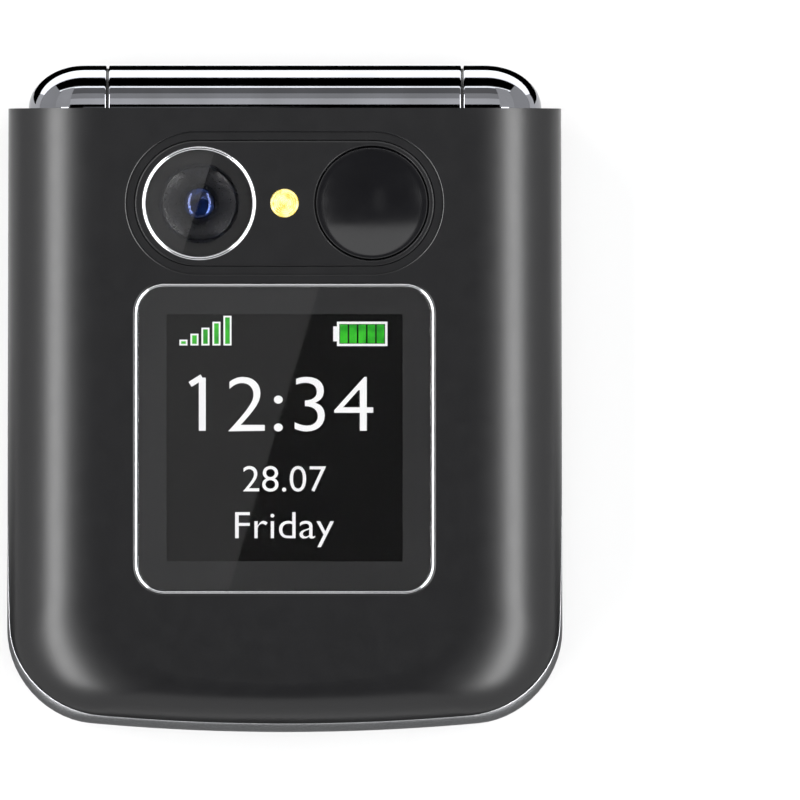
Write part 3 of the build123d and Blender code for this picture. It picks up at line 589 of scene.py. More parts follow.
def rim_rings(height_at, size, upper=False):
    """Rings of a small rounded rim, that begins at a height or, as an upper rim, ends there."""
    steps = [(size * (1 - cos(a)), size * (1 - sin(a))) for a in (0, pi / 6, pi / 3, pi / 2)]
    steps = [(-lift, pull) for lift, pull in reversed(steps)] if upper else steps
    return [{"height_at": lambda v, lift=lift: height_at(v) + lift, "pull": pull} for lift, pull in steps]


def notch():
    """Room for the barrel, as a cutter."""
    return turned([(0, -NOTCH_END), (NOTCH, -NOTCH_END), (NOTCH, NOTCH_END), (0, NOTCH_END)],
                  (0, AXIS_Y, HALF), along_x=True, steps=180)


def cover_solid(half, lift):
    """Hollow cover of a half: up the inside, round the rim, and over the rounded outside."""
    bm = bmesh.new()

    def edge(v):
        return band(v) + lift

    def curve(share, wall=0.0):
        def height(v):
            low = max(SHOULDER, edge(v) + COVER_RIM)
            begin = asin((low - SHOULDER) / (EDGE_DEPTH - wall))
            return SHOULDER + (EDGE_DEPTH - wall) * sin(begin + (pi / 2 - begin) * share)
        return height

    inside = {"wall": COVER_WALL, "hinge": HINGE_GAP + COVER_WALL}
    rings = [{"height_at": curve(k / 8, COVER_WALL), **inside} for k in range(8, -1, -1)]
    rings += [{"height_at": edge, **inside}, *rim_rings(edge, COVER_RIM)]
    rings += [{"height_at": curve(k / 22)} for k in range(1, 22)]
    rings += [{"height_at": fixed(HALF)}, {"height_at": fixed(HALF), "pull": 0.4}]
    inner_top, outer_top = skin(bm, half, rings)
    bmesh.ops.contextual_create(bm, geom=inner_top)
    bmesh.ops.contextual_create(bm, geom=outer_top)
    return bm


def frame_solid(half):
    """Silver band of a half: a wall all round, without its floor."""
    bm = bmesh.new()

    def share_of(share):
        return lambda v: STRIP_HIGH + BAND_FOOT + (band(v) - STRIP_HIGH - 2 * BAND_FOOT) * share

    inside = {"wall": FRAME_WALL, "hinge": FRAME_START, "rounded": False, "end": FRAME_END}
    rings = rim_rings(fixed(STRIP_HIGH), BAND_FOOT)
    rings += [{"height_at": share_of(k / 14)} for k in range(1, 14)]
    rings += rim_rings(band, BAND_RIM, upper=True)
    rings += [{"height_at": band, "pull": 0.5}, {"height_at": band, **inside},
              {"height_at": fixed(STRIP_HIGH), **inside}]
    skin(bm, half, [*rings, rings[0]])
    bmesh.ops.remove_doubles(bm, verts=bm.verts, dist=0.0005)
    return bm


def strip_solid(half):
    """Dark strip of a half, as a plain closed plate."""
    bm = bmesh.new()
    rings = [{"height_at": fixed(HALF_GAP), "pull": 0.6}, *rim_rings(fixed(HALF_GAP), STRIP_FOOT)]
    rings += [{"height_at": fixed(HALF_GAP + up)} for up in (0.3, 0.5)]
    rings += rim_rings(fixed(STRIP_HIGH), STRIP_RIM, upper=True)
    for loop in skin(bm, half, rings):
        bmesh.ops.contextual_create(bm, geom=loop)
    return bm


def pocket(width, length, radius, x, v, top, bottom, flare=0.12, segments=8):
    """Cutter for a pocket whose mouth has a small rounded edge; top is outside, bottom inside."""
    way = copysign(1, bottom - top)
    bm = bmesh.new()
    mouth = plate(bm, width + 4 * flare, length + 4 * flare, radius + 2 * flare if radius else 0, x, v,
                  top - way * flare, segments)
    first = 0.001
    far = thicken(bm, mouth, way * first)
    rise(bm, far, [(flare, way * (flare - first)), (flare * 0.6, way * flare * 0.2),
                   (flare * 0.4, way * flare * 0.8), (SKIN, bottom - top - way * flare)])
    return bm


def through(width, length, radius, x, v, half=LID, segments=8):
    """Cutter for an opening right through the flat of a half."""
    return slab(width, length, radius, x, v, level(HALF + 1, half), level(HALF - THROUGH, half),
                segments=segments)


def opening(size, x, v, half=LID, flare=0.08, segments=8):
    """Cutter for a soft-edged opening through a half's inner face."""
    return pocket(*size, x, v, level(HALF_GAP, half), level(THROUGH, half), flare, segments)


# ================================================================ shells
def lid_cover():
    """Dark shell of the lid, with the seats of window and island."""
    width, length, radius = WINDOW
    wide, tall = ISLAND
    cutters = [
        notch(),
        pocket(width, length, radius, 0, WINDOW_V, level(HALF), level(HALF - WINDOW_DEPTH)),
        through(width - 2 * WINDOW_LEDGE, length - 2 * WINDOW_LEDGE, radius - WINDOW_LEDGE, 0, WINDOW_V),
        pocket(wide, tall, tall / 2 - 0.01, 0, ISLAND_V, level(HALF), level(HALF - ISLAND_DROP), 0.1, 24),
        through(wide - 2 * ISLAND_STEP, tall - 2 * ISLAND_STEP, tall / 2 - ISLAND_STEP - 0.01, 0, ISLAND_V,
                segments=24),
    ]
    finish_piece([carve(cover_solid(LID, 0.0), *cutters), backing(LID, BACKING_HALF)], "lid_cover_shell",
                 [GRAPHITE], "lid", ["lid_cover"], FLAT_KEPT)


def back_cover():
    """Removable rear shell, with the loudspeaker's slots."""
    slots = [through(*SLOT, SLOT[1] / 2 - 0.001, SLOT_X, SLOT_V + SLOT_PITCH * (k - 2), BASE)
             for k in range(5)]
    room = slab(2 * TROUGH_HALF + 2 * SEAM, 2 * TROUGH_ROOM, 0, 0, 0, level(0, BASE),
                level(TROUGH_LIP + SEAM, BASE))
    finish_piece([carve(cover_solid(BASE, SEAM), notch(), room, *slots)], "back_cover_shell", [GRAPHITE],
                 "back_cover", ["back_cover"], FLAT_KEPT)


def backing(half, half_length):
    """Curved wall of a half behind the barrel."""
    bm = bmesh.new()
    wall = plate(bm, 2 * half_length, BACKING, 0, 0, NOTCH + BACKING / 2, HALF)
    axis, centre = (-half, 0, 0), (0, AXIS_Y, HALF)
    begin, end = BACKING_TURN
    bmesh.ops.rotate(bm, cent=centre, matrix=Matrix.Rotation(radians(begin), 3, axis), verts=bm.verts)
    bmesh.ops.spin(bm, geom=[*wall.verts, *wall.edges, wall], cent=centre, axis=axis,
                   angle=radians(end - begin), steps=24)
    return bm


def trough():
    """Painted trough of the base frame that the barrel lies in, with its lip at the hinge end."""
    lip = slab(2 * TROUGH_HALF, COVER_WALL, 0.2, 0, HINGE_GAP + COVER_WALL / 2,
               level(TROUGH_TOP, BASE), level(TROUGH_LIP, BASE))
    finish_piece([backing(BASE, TROUGH_HALF), carve(lip, notch())], "barrel_trough_lip", [GRAPHITE],
                 "base", crease=FLAT_KEPT)


def frames():
    """Bright bands of both halves, each with its floor; the base's is open round what stands in it."""
    floors = [slab(*FLOOR_PLATE, 0, FLOOR_V, level(FLOOR_LOW, half), level(FLOOR_HIGH, half))
              for half in (LID, BASE)]
    finish_piece([carve(frame_solid(LID), notch()), floors[0]], "lid_band", [SILVER], "lid",
                 ["lid_frame"], FLAT_KEPT)
    windows, room = [], 0.6
    for name in ("sim_card_holder", "shield_can", "loudspeaker", "battery_contacts", "vibration_motor"):
        low, high = (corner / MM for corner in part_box(name))
        middle = (low + high) / 2
        windows.append(slab(high.x - low.x + room, high.y - low.y + room, room / 2, middle.x,
                            AXIS_Y - middle.y, level(FLOOR_LOW - 1, BASE), level(FLOOR_HIGH + 1, BASE)))
    mouth = socket_form(SOCKET[0] + 2 * SOCKET_GAP, SOCKET[1] + 2 * SOCKET_GAP, SOCKET_START - SOCKET_GAP,
                        BODY_LENGTH + 4.9)
    finish_piece([carve(frame_solid(BASE), notch(), mouth), carve(floors[1], *windows)], "base_band",
                 [SILVER], "base", ["base_frame"], FLAT_KEPT)


def socket_form(wide, tall, v0, v1, radius=None):
    """Block with rounded ends that lies along the phone, on the charging socket's axis."""
    radius = tall / 2 if radius is None else radius
    bm = block(lambda bm: plate(bm, wide, tall, radius, 0, 0, 0, 10), v1 - v0)
    bmesh.ops.rotate(bm, cent=(0, at(0), 0), matrix=Matrix.Rotation(radians(90), 3, "X"), verts=bm.verts)
    bmesh.ops.translate(bm, vec=(0, -v0, level(SOCKET_DEPTH, BASE)), verts=bm.verts)
    return bm


def charging_socket():
    """Drawn-steel socket shell, and its tongue with two rows of contacts."""
    wide, tall, length = SOCKET
    end = SOCKET_START + length
    shell = carve(socket_form(wide, tall, SOCKET_START, end),
                  socket_form(wide - 2 * SOCKET_WALL, tall - 2 * SOCKET_WALL, SOCKET_START + 1, end + 1))
    tongue = socket_form(*TONGUE, SOCKET_START + 0.9, end - 0.4, 0.2)
    contacts = [socket_form(*CONTACT, SOCKET_START + 1.5, end - 0.9, 0) for k in range(8)]
    for k, contact in enumerate(contacts):
        bmesh.ops.translate(contact, vec=(CONTACT_PITCH * (k - 3.5), 0, 0), verts=contact.verts)
    finish_piece([(shell, 0), (tongue, 1), *[(contact, 2) for contact in contacts]], "charging_socket_shell",
                 [NICKEL, BLACK_PLASTIC, GOLD], "base", ["usb_socket"])


def lid_bezel():
    """Inner plate of the lid: openings for window and earpiece, seats for the bumpers."""
    cutters = [notch(), opening(INNER_WINDOW, 0, INNER_WINDOW_V),
               opening((*EARPIECE, EARPIECE[1] / 2 - 0.01), 0, EARPIECE_V)]
    cutters += [pocket(*BUMPER, BUMPER[0] / 2 - 0.01, x, BUMPER_V, level(HALF_GAP), level(BUMPER_SEAT),
                       0.03) for x in (-BUMPER_X, BUMPER_X)]
    finish_piece([carve(strip_solid(LID), *cutters)], "lid_inner_bezel", [STRIP], "lid", ["lid_bezel"],
                 FLAT_KEPT)


# ================================================================ lid: outer face
def rim():
    """Half-round bright frame of the outer window."""
    width, length, radius = WINDOW
    bm = bmesh.new()
    bottom = plate(bm, width, length, radius, 0, WINDOW_V, level(HALF - WINDOW_DEPTH), 12)
    outer_edges = list(bottom.edges)
    half = RIM / 2
    top = thicken(bm, bottom, WINDOW_DEPTH - half)
    over = quarter(half, half)
    inner = rise(bm, top, [*over, *[(across, -up) for across, up in reversed(over)],
                           (SKIN, half - WINDOW_DEPTH)])
    inner_edges = list(inner.edges)
    bmesh.ops.delete(bm, geom=[bottom, inner], context="FACES_ONLY")
    bmesh.ops.bridge_loops(bm, edges=outer_edges + inner_edges)
    finish_piece([bm], "outer_window_frame", [CHROME], "lid", ["outer_window_rim"])


def window(name, size, v, back, front, screen, screen_v, segments):
    """Window and the print on its back, which is open over the lit area of the display."""
    width, length, radius = size
    lens = slab(width, length, radius, 0, v, back, front, 0.12, segments)
    finish_piece([lens], f"{name}_lens", [GLASS], "lid", [name])
    mask = slab(width - 0.1, length - 0.1, radius, 0, v, back + SHEET, back + 3 * SHEET, segments=segments)
    lit_area = slab(*screen, 0, 0, screen_v, back - 1, back + 1)
    finish_piece([carve(mask, lit_area)], f"{name}_print", [INK], "lid")


def outer_window():
    width, length, radius = WINDOW
    window("outer_window", (width - 2 * RIM, length - 2 * RIM, radius - RIM), WINDOW_V,
           level(HALF - WINDOW_DEPTH), level(HALF - WINDOW_RECESS), SCREEN, SCREEN_V, 12)


def inner_window():
    width, length, radius = INNER_WINDOW
    low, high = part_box("inner_window")
    window("inner_window", (width - 0.2, length - 0.2, radius), INNER_WINDOW_V, high.z / MM, low.z / MM,
           INNER_SCREEN, INNER_WINDOW_V, 8)


def lettering(text, tall, x, v, z, wide=None, thinner=0.0):
    """Flat letters as a mesh, their middle at a place, to a height and a width in mm."""
    curve = bpy.data.curves.new("letters", "FONT")
    curve.body, curve.align_x, curve.resolution_u, curve.offset = text, "CENTER", 6, -thinner
    letters = put("letters", curve)
    graph = bpy.context.evaluated_depsgraph_get()
    mesh = bpy.data.meshes.new_from_object(letters.evaluated_get(graph))
    bm = bmesh.new()
    bm.from_mesh(mesh)
    bpy.data.objects.remove(letters)
    bpy.data.curves.remove(curve)
    bpy.data.meshes.remove(mesh)
    xs, ys = [vert.co.x for vert in bm.verts], [vert.co.y for vert in bm.verts]
    up = tall / (max(ys) - min(ys))
    across = wide / (max(xs) - min(xs)) if wide else up
    middle = Vector(((max(xs) + min(xs)) / 2, (max(ys) + min(ys)) / 2, 0))
    bmesh.ops.translate(bm, vec=-middle, verts=bm.verts)
    bmesh.ops.scale(bm, vec=(across, up, 1), verts=bm.verts)
    bmesh.ops.translate(bm, vec=(x, at(v), z), verts=bm.verts)
    return bm


def flag_of_one(x, v, length, thick, z):
    """Upstroke of a figure one, that ends at the top of its stem."""
    bm = bmesh.new()
    plate(bm, length, thick, 0, x - length / 2, v, z)
    bmesh.ops.rotate(bm, cent=(x, at(v), z), matrix=Matrix.Rotation(radians(32), 3, "Z"), verts=bm.verts)
    return bm


def bar(x, v, width, length, z, radius=0.0):
    """Flat bar, as one face."""
    bm = bmesh.new()
    plate(bm, width, length, radius, x, v, z, 3)
    return bm


def outer_display():
    """Display with its clock page: signal bars, battery, time, date and weekday."""
    top = level(HALF - COVER_WALL)
    under, over, front = (top + SHEET * k for k in (2, 3, 4))
    panel, white, green = 0, 1, 2
    shapes = [slab(*DISPLAY, 0, WINDOW_V, level(DISPLAY_BACK), top)]
    foot, first, pitch = 25.55, -10.84, 1.18       # signal bars: where they stand, X of the first
    for k in range(5):
        x, tall = first + pitch * k, 0.62 + 0.64 * k
        shapes += [(bar(x, foot - tall / 2, 0.86, tall, under), white),
                   (bar(x, foot - tall / 2, 0.5, tall - 0.34, over), green)]
    x, v, wide, tall = 8.325, 24.31, 5.41, 2.62    # battery sign: its middle and size
    wall = 0.25
    shapes += [(bar(x, v, wide, tall, under), white),
               (bar(x, v, wide - 2 * wall, tall - 2 * wall, over), panel),
               (bar(x - wide / 2 - 0.2, v, 0.4, 1.6, under), white)]
    cell = (wide - 2 * wall) / 5
    shapes += [(bar(x + cell * (k - 2), v, cell - 0.18, tall - 0.62, front), green) for k in range(5)]
    shapes += [(lettering("12:34", 5.85, 0.16, 31.85, under, 18.7, 0.01), white),
               (flag_of_one(-8.85, 28.93, 1.5, 0.62, over), white),
               (lettering("28.07", 2.75, 0.0, 39.85, under, 8.9, 0.006), white),
               (lettering("Friday", 3.75, 0.0, 45.3, under, 10.6, 0.006), white)]
    finish_piece(shapes, "outer_display_page", [PANEL, LIT_WHITE, LIT_GREEN], "lid", ["outer_display"])


def island():
    """Plate round camera, flash and round key, with the seats that they sit in."""
    flange, low, high = 1.0, level(5), level(HALF + 1)
    wide, tall = ISLAND
    shape = block(lambda bm: plate(bm, wide + 2 * flange, tall + 2 * flange, tall / 2 + flange - 0.01,
                                   0, ISLAND_V, level(ISLAND_BACK), 24),
                  HALF - COVER_WALL - ISLAND_BACK,
                  [(flange + ISLAND_STEP + 0.05, 0), (SKIN, ISLAND_FACE - HALF + COVER_WALL - 0.2),
                   *quarter(0.2, 0.2), (0.1, 0)])
    # Each seat: its X, its steps round, and its side as radius and height over the island's face.
    seats = ((CAMERA_X, 120, ((CAMERA_BARREL + 0.3, -CAMERA_SEAT), (CAMERA_R, -CAMERA_SEAT))),
             (0, 96, ((FLASH_R - 0.3, -FLASH_SEAT), (FLASH_R, -FLASH_SEAT), (FLASH_R, -0.05),
                      (FLASH_R + 0.1, 0.05))),
             (KEY_X, 120, ((ROUND_KEY_R + 0.12, -0.12), (ROUND_KEY_R + 0.2, -0.03),
                           (ROUND_KEY_R + 0.3, 0.02))))
    cutters = []
    for x, steps, side in seats:
        wall = [(radius, level(ISLAND_FACE + up)) for radius, up in side]
        cutters.append(turned([(0, low), (side[0][0], low), *wall, (side[-1][0], high), (0, high)],
                              (x, at(ISLAND_V), 0), steps=steps))
    finish_piece([carve(shape, *cutters)], "camera_island_plate", [GRAPHITE], "lid", ["camera_island"],
                 FLAT_KEPT)


def camera():
    """Bright ring, cover glass with its printed border, and the module: well, lens and iris."""
    centre = (CAMERA_X, at(ISLAND_V), 0)
    seat, face = level(ISLAND_FACE - CAMERA_SEAT), level(ISLAND_FACE)
    inner = CAMERA_R - CAMERA_RING
    crown = soft_edge(CAMERA_R, face + CAMERA_PROUD, CAMERA_RING / 2, pi, 12)
    finish_piece([ring_of([(CAMERA_R, seat), *crown, (inner, seat)], centre, 128)],
                 "camera_trim_ring", [CHROME], "lid", ["camera_ring"])
    finish_piece([turned([(0, seat), (inner, seat), (inner, face - 0.05), (inner - 0.05, face), (0, face)],
                         centre)], "camera_cover_glass", [CAMERA_GLASS], "lid", ["camera_glass"])
    finish_piece([flat_ring(CAMERA_BARREL, inner - 0.02, seat + SHEET, seat + 3 * SHEET, centre)],
                 "camera_glass_print", [INK], "lid")
    low, mouth, floor = level(CAMERA_HIGH), seat - 0.02, seat - 1.0
    body = slab(*CAMERA_BODY, CAMERA_X, ISLAND_V, level(CAMERA_LOW), low)
    well = [(CAMERA_BARREL, mouth), (CAMERA_BARREL - 0.3, mouth), (CAMERA_BARREL - 0.4, mouth - 0.15),
            (LENS_R + 0.5, floor + 0.1), (LENS_R + 0.4, floor), (LENS_R, floor)]
    lens_seat = floor - 0.2
    barrel = turned([(0, low), (CAMERA_BARREL, low), *well, (LENS_R, lens_seat), (0, lens_seat)], centre)
    bulge = [(LENS_R * cos(a), floor + LENS_RISE * sin(a)) for a in [pi / 16 * k for k in range(8)]]
    lens = turned([(0, lens_seat), (LENS_R, lens_seat), *bulge, (0, floor + LENS_RISE)], centre, steps=64)
    iris = flat_ring(*IRIS, floor + 0.2, floor + 0.25, centre)
    finish_piece([body, barrel, (lens, 1), iris], "camera_module_body", [WELL, COATED_LENS], "lid",
                 ["camera_module"])


def flash():
    """Flash window with its ribbed lens."""
    top, low = level(ISLAND_FACE), level(ISLAND_FACE - FLASH_SEAT)
    ribs, pitch = [], 0.23
    for k in range(6):
        outer = FLASH_R - 0.12 - k * pitch
        ribs += [(outer, top - 0.06), (outer - 0.13, top - 0.02), (outer - 0.2, top - 0.1)]
    finish_piece([turned([(0, low), (FLASH_R, low), (FLASH_R, top - 0.08), (FLASH_R - 0.06, top - 0.02),
                          *ribs, (0, top - 0.08)], (0, at(ISLAND_V), 0), steps=64)],
                 "flash_lens_ribbed", [PHOSPHOR], "lid", ["flash_lens"], 50)


def round_key():
    """Quick-call key: a disc with a finger dish, its side tabs and its plunger."""
    centre = (KEY_X, at(ISLAND_V), 0)
    top, back, foot = level(ISLAND_FACE), level(ROUND_KEY_BACK), level(PLUNGER_FOOT)
    reach, (out, wide, tall) = ROUND_KEY_R - DISH_RIM, ROUND_KEY_TABS
    ball = (reach**2 + DISH**2) / (2 * DISH)        # radius of the dish
    dish = [(r, top - sqrt(ball**2 - r**2) + ball - DISH) for r in [reach * (1 - k / 14) for k in range(15)]]
    edge = [(ROUND_KEY_R, top - 0.14), (ROUND_KEY_R - 0.04, top - 0.05), (ROUND_KEY_R - 0.13, top - 0.005),
            (reach + 0.06, top - 0.005)]
    finish_piece([turned([(0, back), (ROUND_KEY_R, back), *edge, *dish], centre, steps=128),
                  slab(2 * (ROUND_KEY_R + out), wide, 0.3, KEY_X, ISLAND_V, back, back + tall),
                  turned([(0, back), (PLUNGER_R, back), (PLUNGER_R, foot), (0, foot)], centre)],
                 "round_key_dished", [GLOSS_BLACK], "round_key", ["round_key"], 40)


# ================================================================ hinge barrel
def barrel():
    """Hinge barrel: a knuckle with black collars on the lid, and two domed caps on the base; the collars and
    the black section ends are painted shade that keeps the seams between the sections dark.
    """
    centre = (0, AXIS_Y, HALF)
    edge = [(BARREL - BARREL_SOFT, 0), (BARREL - 0.3 * BARREL_SOFT, 0.3 * BARREL_SOFT),
            (BARREL, BARREL_SOFT), (BARREL, 2 * BARREL_SOFT)]
    knuckle = turned([(0, -KNUCKLE_END), (2.45, -KNUCKLE_END),
                      *[(radius, along - KNUCKLE_END) for radius, along in edge],
                      *[(radius, KNUCKLE_END - along) for radius, along in reversed(edge)],
                      (0, KNUCKLE_END)], centre, True, 160)
    # Black collars that fill the seams beside the knuckle: parts of the hinge, black so that the gaps show
    # as painted shade.
    inside, out = 18.5, CAP_START - 0.03
    collars = [turned([(0, side * inside), (BARREL - 0.3, side * inside), (BARREL - 0.3, side * out),
                       (0, side * out)], centre, True) for side in (-1, 1)]
    finish_piece([(dark_seam_ends(knuckle), None), *[(collar, 1) for collar in collars], lug(*CENTRE_LUG, LID)],
                 "hinge_barrel_centre", [BLACK_CHROME, BLACK_PLASTIC], "lid", ["hinge_centre_cover"])
    tip = DOME_START + DOME_LENGTH
    dome = [(BARREL * cos(a), DOME_START + DOME_LENGTH * sin(a)) for a in [pi / 40 * k for k in range(20)]]
    profile = [(0, CAP_START), *[(radius, CAP_START + along) for radius, along in edge], *dome, (0, tip)]
    for side, name in ((1, "right"), (-1, "left")):
        cap = dark_seam_ends(turned([(radius, side * along) for radius, along in profile], centre, True, 160))
        finish_piece([cap, lug(side * CAP_LUG[0], side * CAP_LUG[1], BASE)], f"hinge_barrel_cap_{name}",
                     [BLACK_CHROME, BLACK_PLASTIC], "base", [f"hinge_cap_{name}"])


def dark_seam_ends(bm):
    """Gives the level end faces of a barrel section the piece's second material, black plastic: painted
    shade that keeps the seams between the sections dark.
    """
    for face in outward(bm).faces:
        inside = abs(face.calc_center_median().x) < DOME_START
        face.material_index = int(inside and abs(face.normal.x) > 0.99)
    return bm


def lug(x0, x1, half):
    """Tongue that carries a knuckle on its half."""
    return slab(abs(x1 - x0), LUG_REACH - LUG_START, 0.2, (x0 + x1) / 2, (LUG_REACH + LUG_START) / 2,
                level(LUG_LOW, half), level(LUG_HIGH, half))


# ================================================================ keypad side
KEY_COLUMNS = (-KEY_PITCH, 0.0, KEY_PITCH)
DIGITS = ("1", "2", "3", "4", "5", "6", "7", "8", "9", "star", "0", "hash")
KEYS = [(name, KEY_COLUMNS[k % 3], DIGIT_ROWS[k // 3], KEY_SIZE[1]) for k, name in enumerate(DIGITS)]
KEYS += [("soft_left", -KEY_PITCH, SOFT_ROW, SIDE_LENGTH), ("soft_right", KEY_PITCH, SOFT_ROW, SIDE_LENGTH),
         ("call", -KEY_PITCH, CALL_ROW, SIDE_LENGTH), ("end", KEY_PITCH, CALL_ROW, SIDE_LENGTH)]


def deck():
    """Keypad plate with its key openings and the microphone hole."""
    ring = RING_R + KEY_GAP
    cutters = [notch(), opening((2 * ring, 2 * ring, ring), 0, RING_V, BASE, 0.06, 24),
               opening((MICROPHONE, MICROPHONE, MICROPHONE / 2), MICROPHONE_X, MICROPHONE_V, BASE, 0.05, 6)]
    cutters += [opening((KEY_SIZE[0] + 2 * KEY_GAP, length + 2 * KEY_GAP, KEY_CORNER), x, v, BASE, 0.06)
                for _, x, v, length in KEYS]
    finish_piece([carve(strip_solid(BASE), *cutters)], "keypad_deck_plate", [STRIP], "base", ["keypad_deck"],
                 FLAT_KEPT)


def handset(x, v, z, turned_down):
    """Handset sign: a grip and two ends, each a hair above the last."""
    ends_v, step = v + (-0.5 if turned_down else 0.5), 0.002
    return [bar(x, v, 3.0, 0.75, z, 0.35), bar(x - 1.45, ends_v, 1.0, 1.35, z + step, 0.3),
            bar(x + 1.45, ends_v, 1.0, 1.35, z + 2 * step, 0.3)]


def legend(name, x, v, z):
    """What is printed on a key."""
    if name in ("call", "end"):
        return handset(x, v, z, name == "call")
    if name.startswith("soft"):
        return [bar(x, v, 3.6, 0.5, z, 0.2)]
    sign = {"star": "*", "hash": "#"}.get(name, name)
    marks = [lettering(sign, 2.0 if name == "star" else 3.7, x, v, z)]
    return [*marks, flag_of_one(x + 0.1, v - 1.6, 1.1, 0.42, z + 0.004)] if name == "1" else marks


def digit_keys():
    """Keys with a rounded edge and a slight crown, on the flange that keeps them in the deck."""
    foot, top = level(KEY_FLANGE_DEPTH, BASE), level(KEY_CROWN, BASE)
    straight = top - foot - KEY_SOFT - sum(up for _, up in CROWN)
    kinds = {"call": (GREEN_KEY, "key_green"), "end": (RED_KEY, "key_red")}
    for name, x, v, length in KEYS:
        cap = block(lambda bm: plate(bm, KEY_SIZE[0], length, KEY_CORNER - 0.2, x, v, foot),
                    straight, [*quarter(KEY_SOFT, KEY_SOFT), *CROWN])
        flange = slab(KEY_SIZE[0] + KEY_WIDER, length - KEY_SHORTER, 0.3, x, v, foot - KEY_FLANGE, foot)
        plastic, slot = kinds.get(name, (KEY_PLASTIC, "key_plastic"))
        marks = [(mark, 1) for mark in legend(name, x, v, top + SHEET)]
        finish_piece([cap, flange, *marks], f"key_cap_{name}", [plastic, WHITE_PRINT], f"key_{name}",
                     [f"key_{name}"], 40)


def navigation():
    """Plated direction ring with four marks and four tabs, and the dished middle key."""
    centre = (0, at(RING_V), 0)
    foot, top = level(KEY_FLANGE_DEPTH + RING_DROP, BASE), level(KEY_CROWN, BASE)
    middle, shoulder = (RING_R + RING_BORE) / 2, top - 0.1
    outer = soft_edge(RING_R, shoulder, KEY_SOFT)
    inner = [(2 * RING_BORE - radius, z) for radius, z in reversed(soft_edge(RING_BORE, shoulder, KEY_SOFT))]
    ring = ring_of([(RING_R, foot), *outer, (middle + 0.6, top - 0.02), (middle, top),
                    (middle - 0.6, top - 0.02), *inner, (RING_BORE, foot)], centre)
    reach, (wide, tall) = RING_R + 0.05, RING_TAB
    tabs = [slab(across, along, 0.2, x, RING_V + v, foot - KEY_FLANGE, foot)
            for across, along, x, v in ((wide, tall, -reach, 0), (wide, tall, reach, 0),
                                        (tall, wide, 0, -reach), (tall, wide, 0, reach))]
    marks = []
    for turn in range(4):
        mark = bmesh.new()
        bmesh.ops.create_circle(mark, cap_ends=True, segments=3, radius=RING_MARK)
        bmesh.ops.translate(mark, vec=(0, middle, 0), verts=mark.verts)
        bmesh.ops.rotate(mark, cent=(0, 0, 0), matrix=Matrix.Rotation(turn * pi / 2, 3, "Z"),
                         verts=mark.verts)
        bmesh.ops.translate(mark, vec=(0, at(RING_V), top + SHEET), verts=mark.verts)
        marks.append((mark, 1))
    finish_piece([ring, *tabs, *marks], "navigation_ring_plated", [KEY_METAL, BLACK_PLASTIC],
                 "key_navigation", ["key_navigation"], 40)
    low = level(KEY_FLANGE_DEPTH + 0.3, BASE)
    dish = [(OK_R * 0.6, top - 0.02), (OK_R * 0.3, top - 0.05), (0, top - 0.06)]
    cap = turned([(0, low), (OK_R, low), *soft_edge(OK_R, top, KEY_SOFT), *dish], centre, steps=72)
    finish_piece([cap, (lettering("OK", 1.7, 0, RING_V, top - 0.005), 1)], "ok_key_dished",
                 [KEY_PLASTIC, WHITE_PRINT], "key_ok", ["key_ok"], 40)


def bumpers():
    feet = [slab(*BUMPER, BUMPER[0] / 2, x, BUMPER_V, level(BUMPER_SEAT), level(-HALF_GAP + 0.02), 0.2)
            for x in (-BUMPER_X, BUMPER_X)]
    finish_piece(feet, "closing_bumpers", [RUBBER], "lid", ["bumpers"])


def flex():
    """Film circuit through the barrel: the tail in the base, and the one that turns with the lid."""
    base_x, lid_x, half, web = FILM_BASE, FILM_LID, FILM / 2, 1.2

    def film(across, along, heights):
        return slab(across[1] - across[0], along[1] - along[0], 0, sum(across) / 2, sum(along) / 2,
                    level(heights[0]), level(heights[1]))

    tail = [film(base_x, (-half, FILM_REACH), (-FILM_DEPTH - half, -FILM_DEPTH + half)),
            film(base_x, (-half, half), (-FILM_DEPTH - half, web)),
            film((base_x[0], lid_x[1]), (-half, half), (-web, web))]
    finish_piece(tail, "flex_base_tail", [POLYIMIDE], "base", ["hinge_flex"])
    tail = [film(lid_x, (-half, half), (0.1 - web, FILM_RISE + half)),
            film(lid_x, (-half, FILM_REACH - 0.1), (FILM_RISE - half, FILM_RISE + half))]
    finish_piece(tail, "flex_lid_tail", [POLYIMIDE], "lid")


# ================================================================ build
flex()
deck()
digit_keys()
navigation()
inner_window()
bumpers()
charging_socket()
trough()
lid_cover()
back_cover()
frames()
lid_bezel()
rim()
outer_window()
outer_display()
island()
camera()
flash()
round_key()
barrel()

# Nodes that keep the CAD's shape: all of them lie inside, or behind a window.
LOOKS = ((PANEL, ("inner_display",)), (BOARD, ("main_board", "lid_board")), (WRAP, ("battery",)),
         (NICKEL, ("earpiece", "shield_can", "sim_card_holder", "vibration_motor", "closing_magnet",
                   "hinge_module_can", "hinge_cam_shaft", "hinge_follower", "hinge_spring", "hinge_bush")),
         (GOLD, ("battery_contacts",)), (SILICONE, ("key_membrane",)), (POLYIMIDE, ("dome_sheet",)))
OWN_LOOK = {name: material for material, names in LOOKS for name in names}
for name, node in nodes.items():
    if not node.hide_render:
        node.data.materials.clear()
        node.data.materials.append(OWN_LOOK.get(name, BLACK_PLASTIC))


# ================================================================ studio
def studio_material(name, strength, fade=None):
    """Plain lit card or wall, which may clear between two Y."""
    made = bpy.data.materials.new(name)
    tree = blank(made)
    shine = add(tree, "ShaderNodeEmission", {"Color": (1, 1, 1, 1), "Strength": strength})
    if fade:
        place = add(tree, "ShaderNodeTexCoord")
        along = add(tree, "ShaderNodeSeparateXYZ", {"Vector": place.outputs["Object"]})
        share = add(tree, "ShaderNodeMapRange", {"Value": along.outputs["Y"], "From Min": fade[0],
                                                 "From Max": fade[1]})
        clear = add(tree, "ShaderNodeBsdfTransparent")
        shine = add(tree, "ShaderNodeMixShader", {0: share.outputs["Result"], 1: shine.outputs[0],
                                                  2: clear.outputs[0]})
    add(tree, "ShaderNodeOutputMaterial", {"Surface": shine.outputs[0]})
    return made


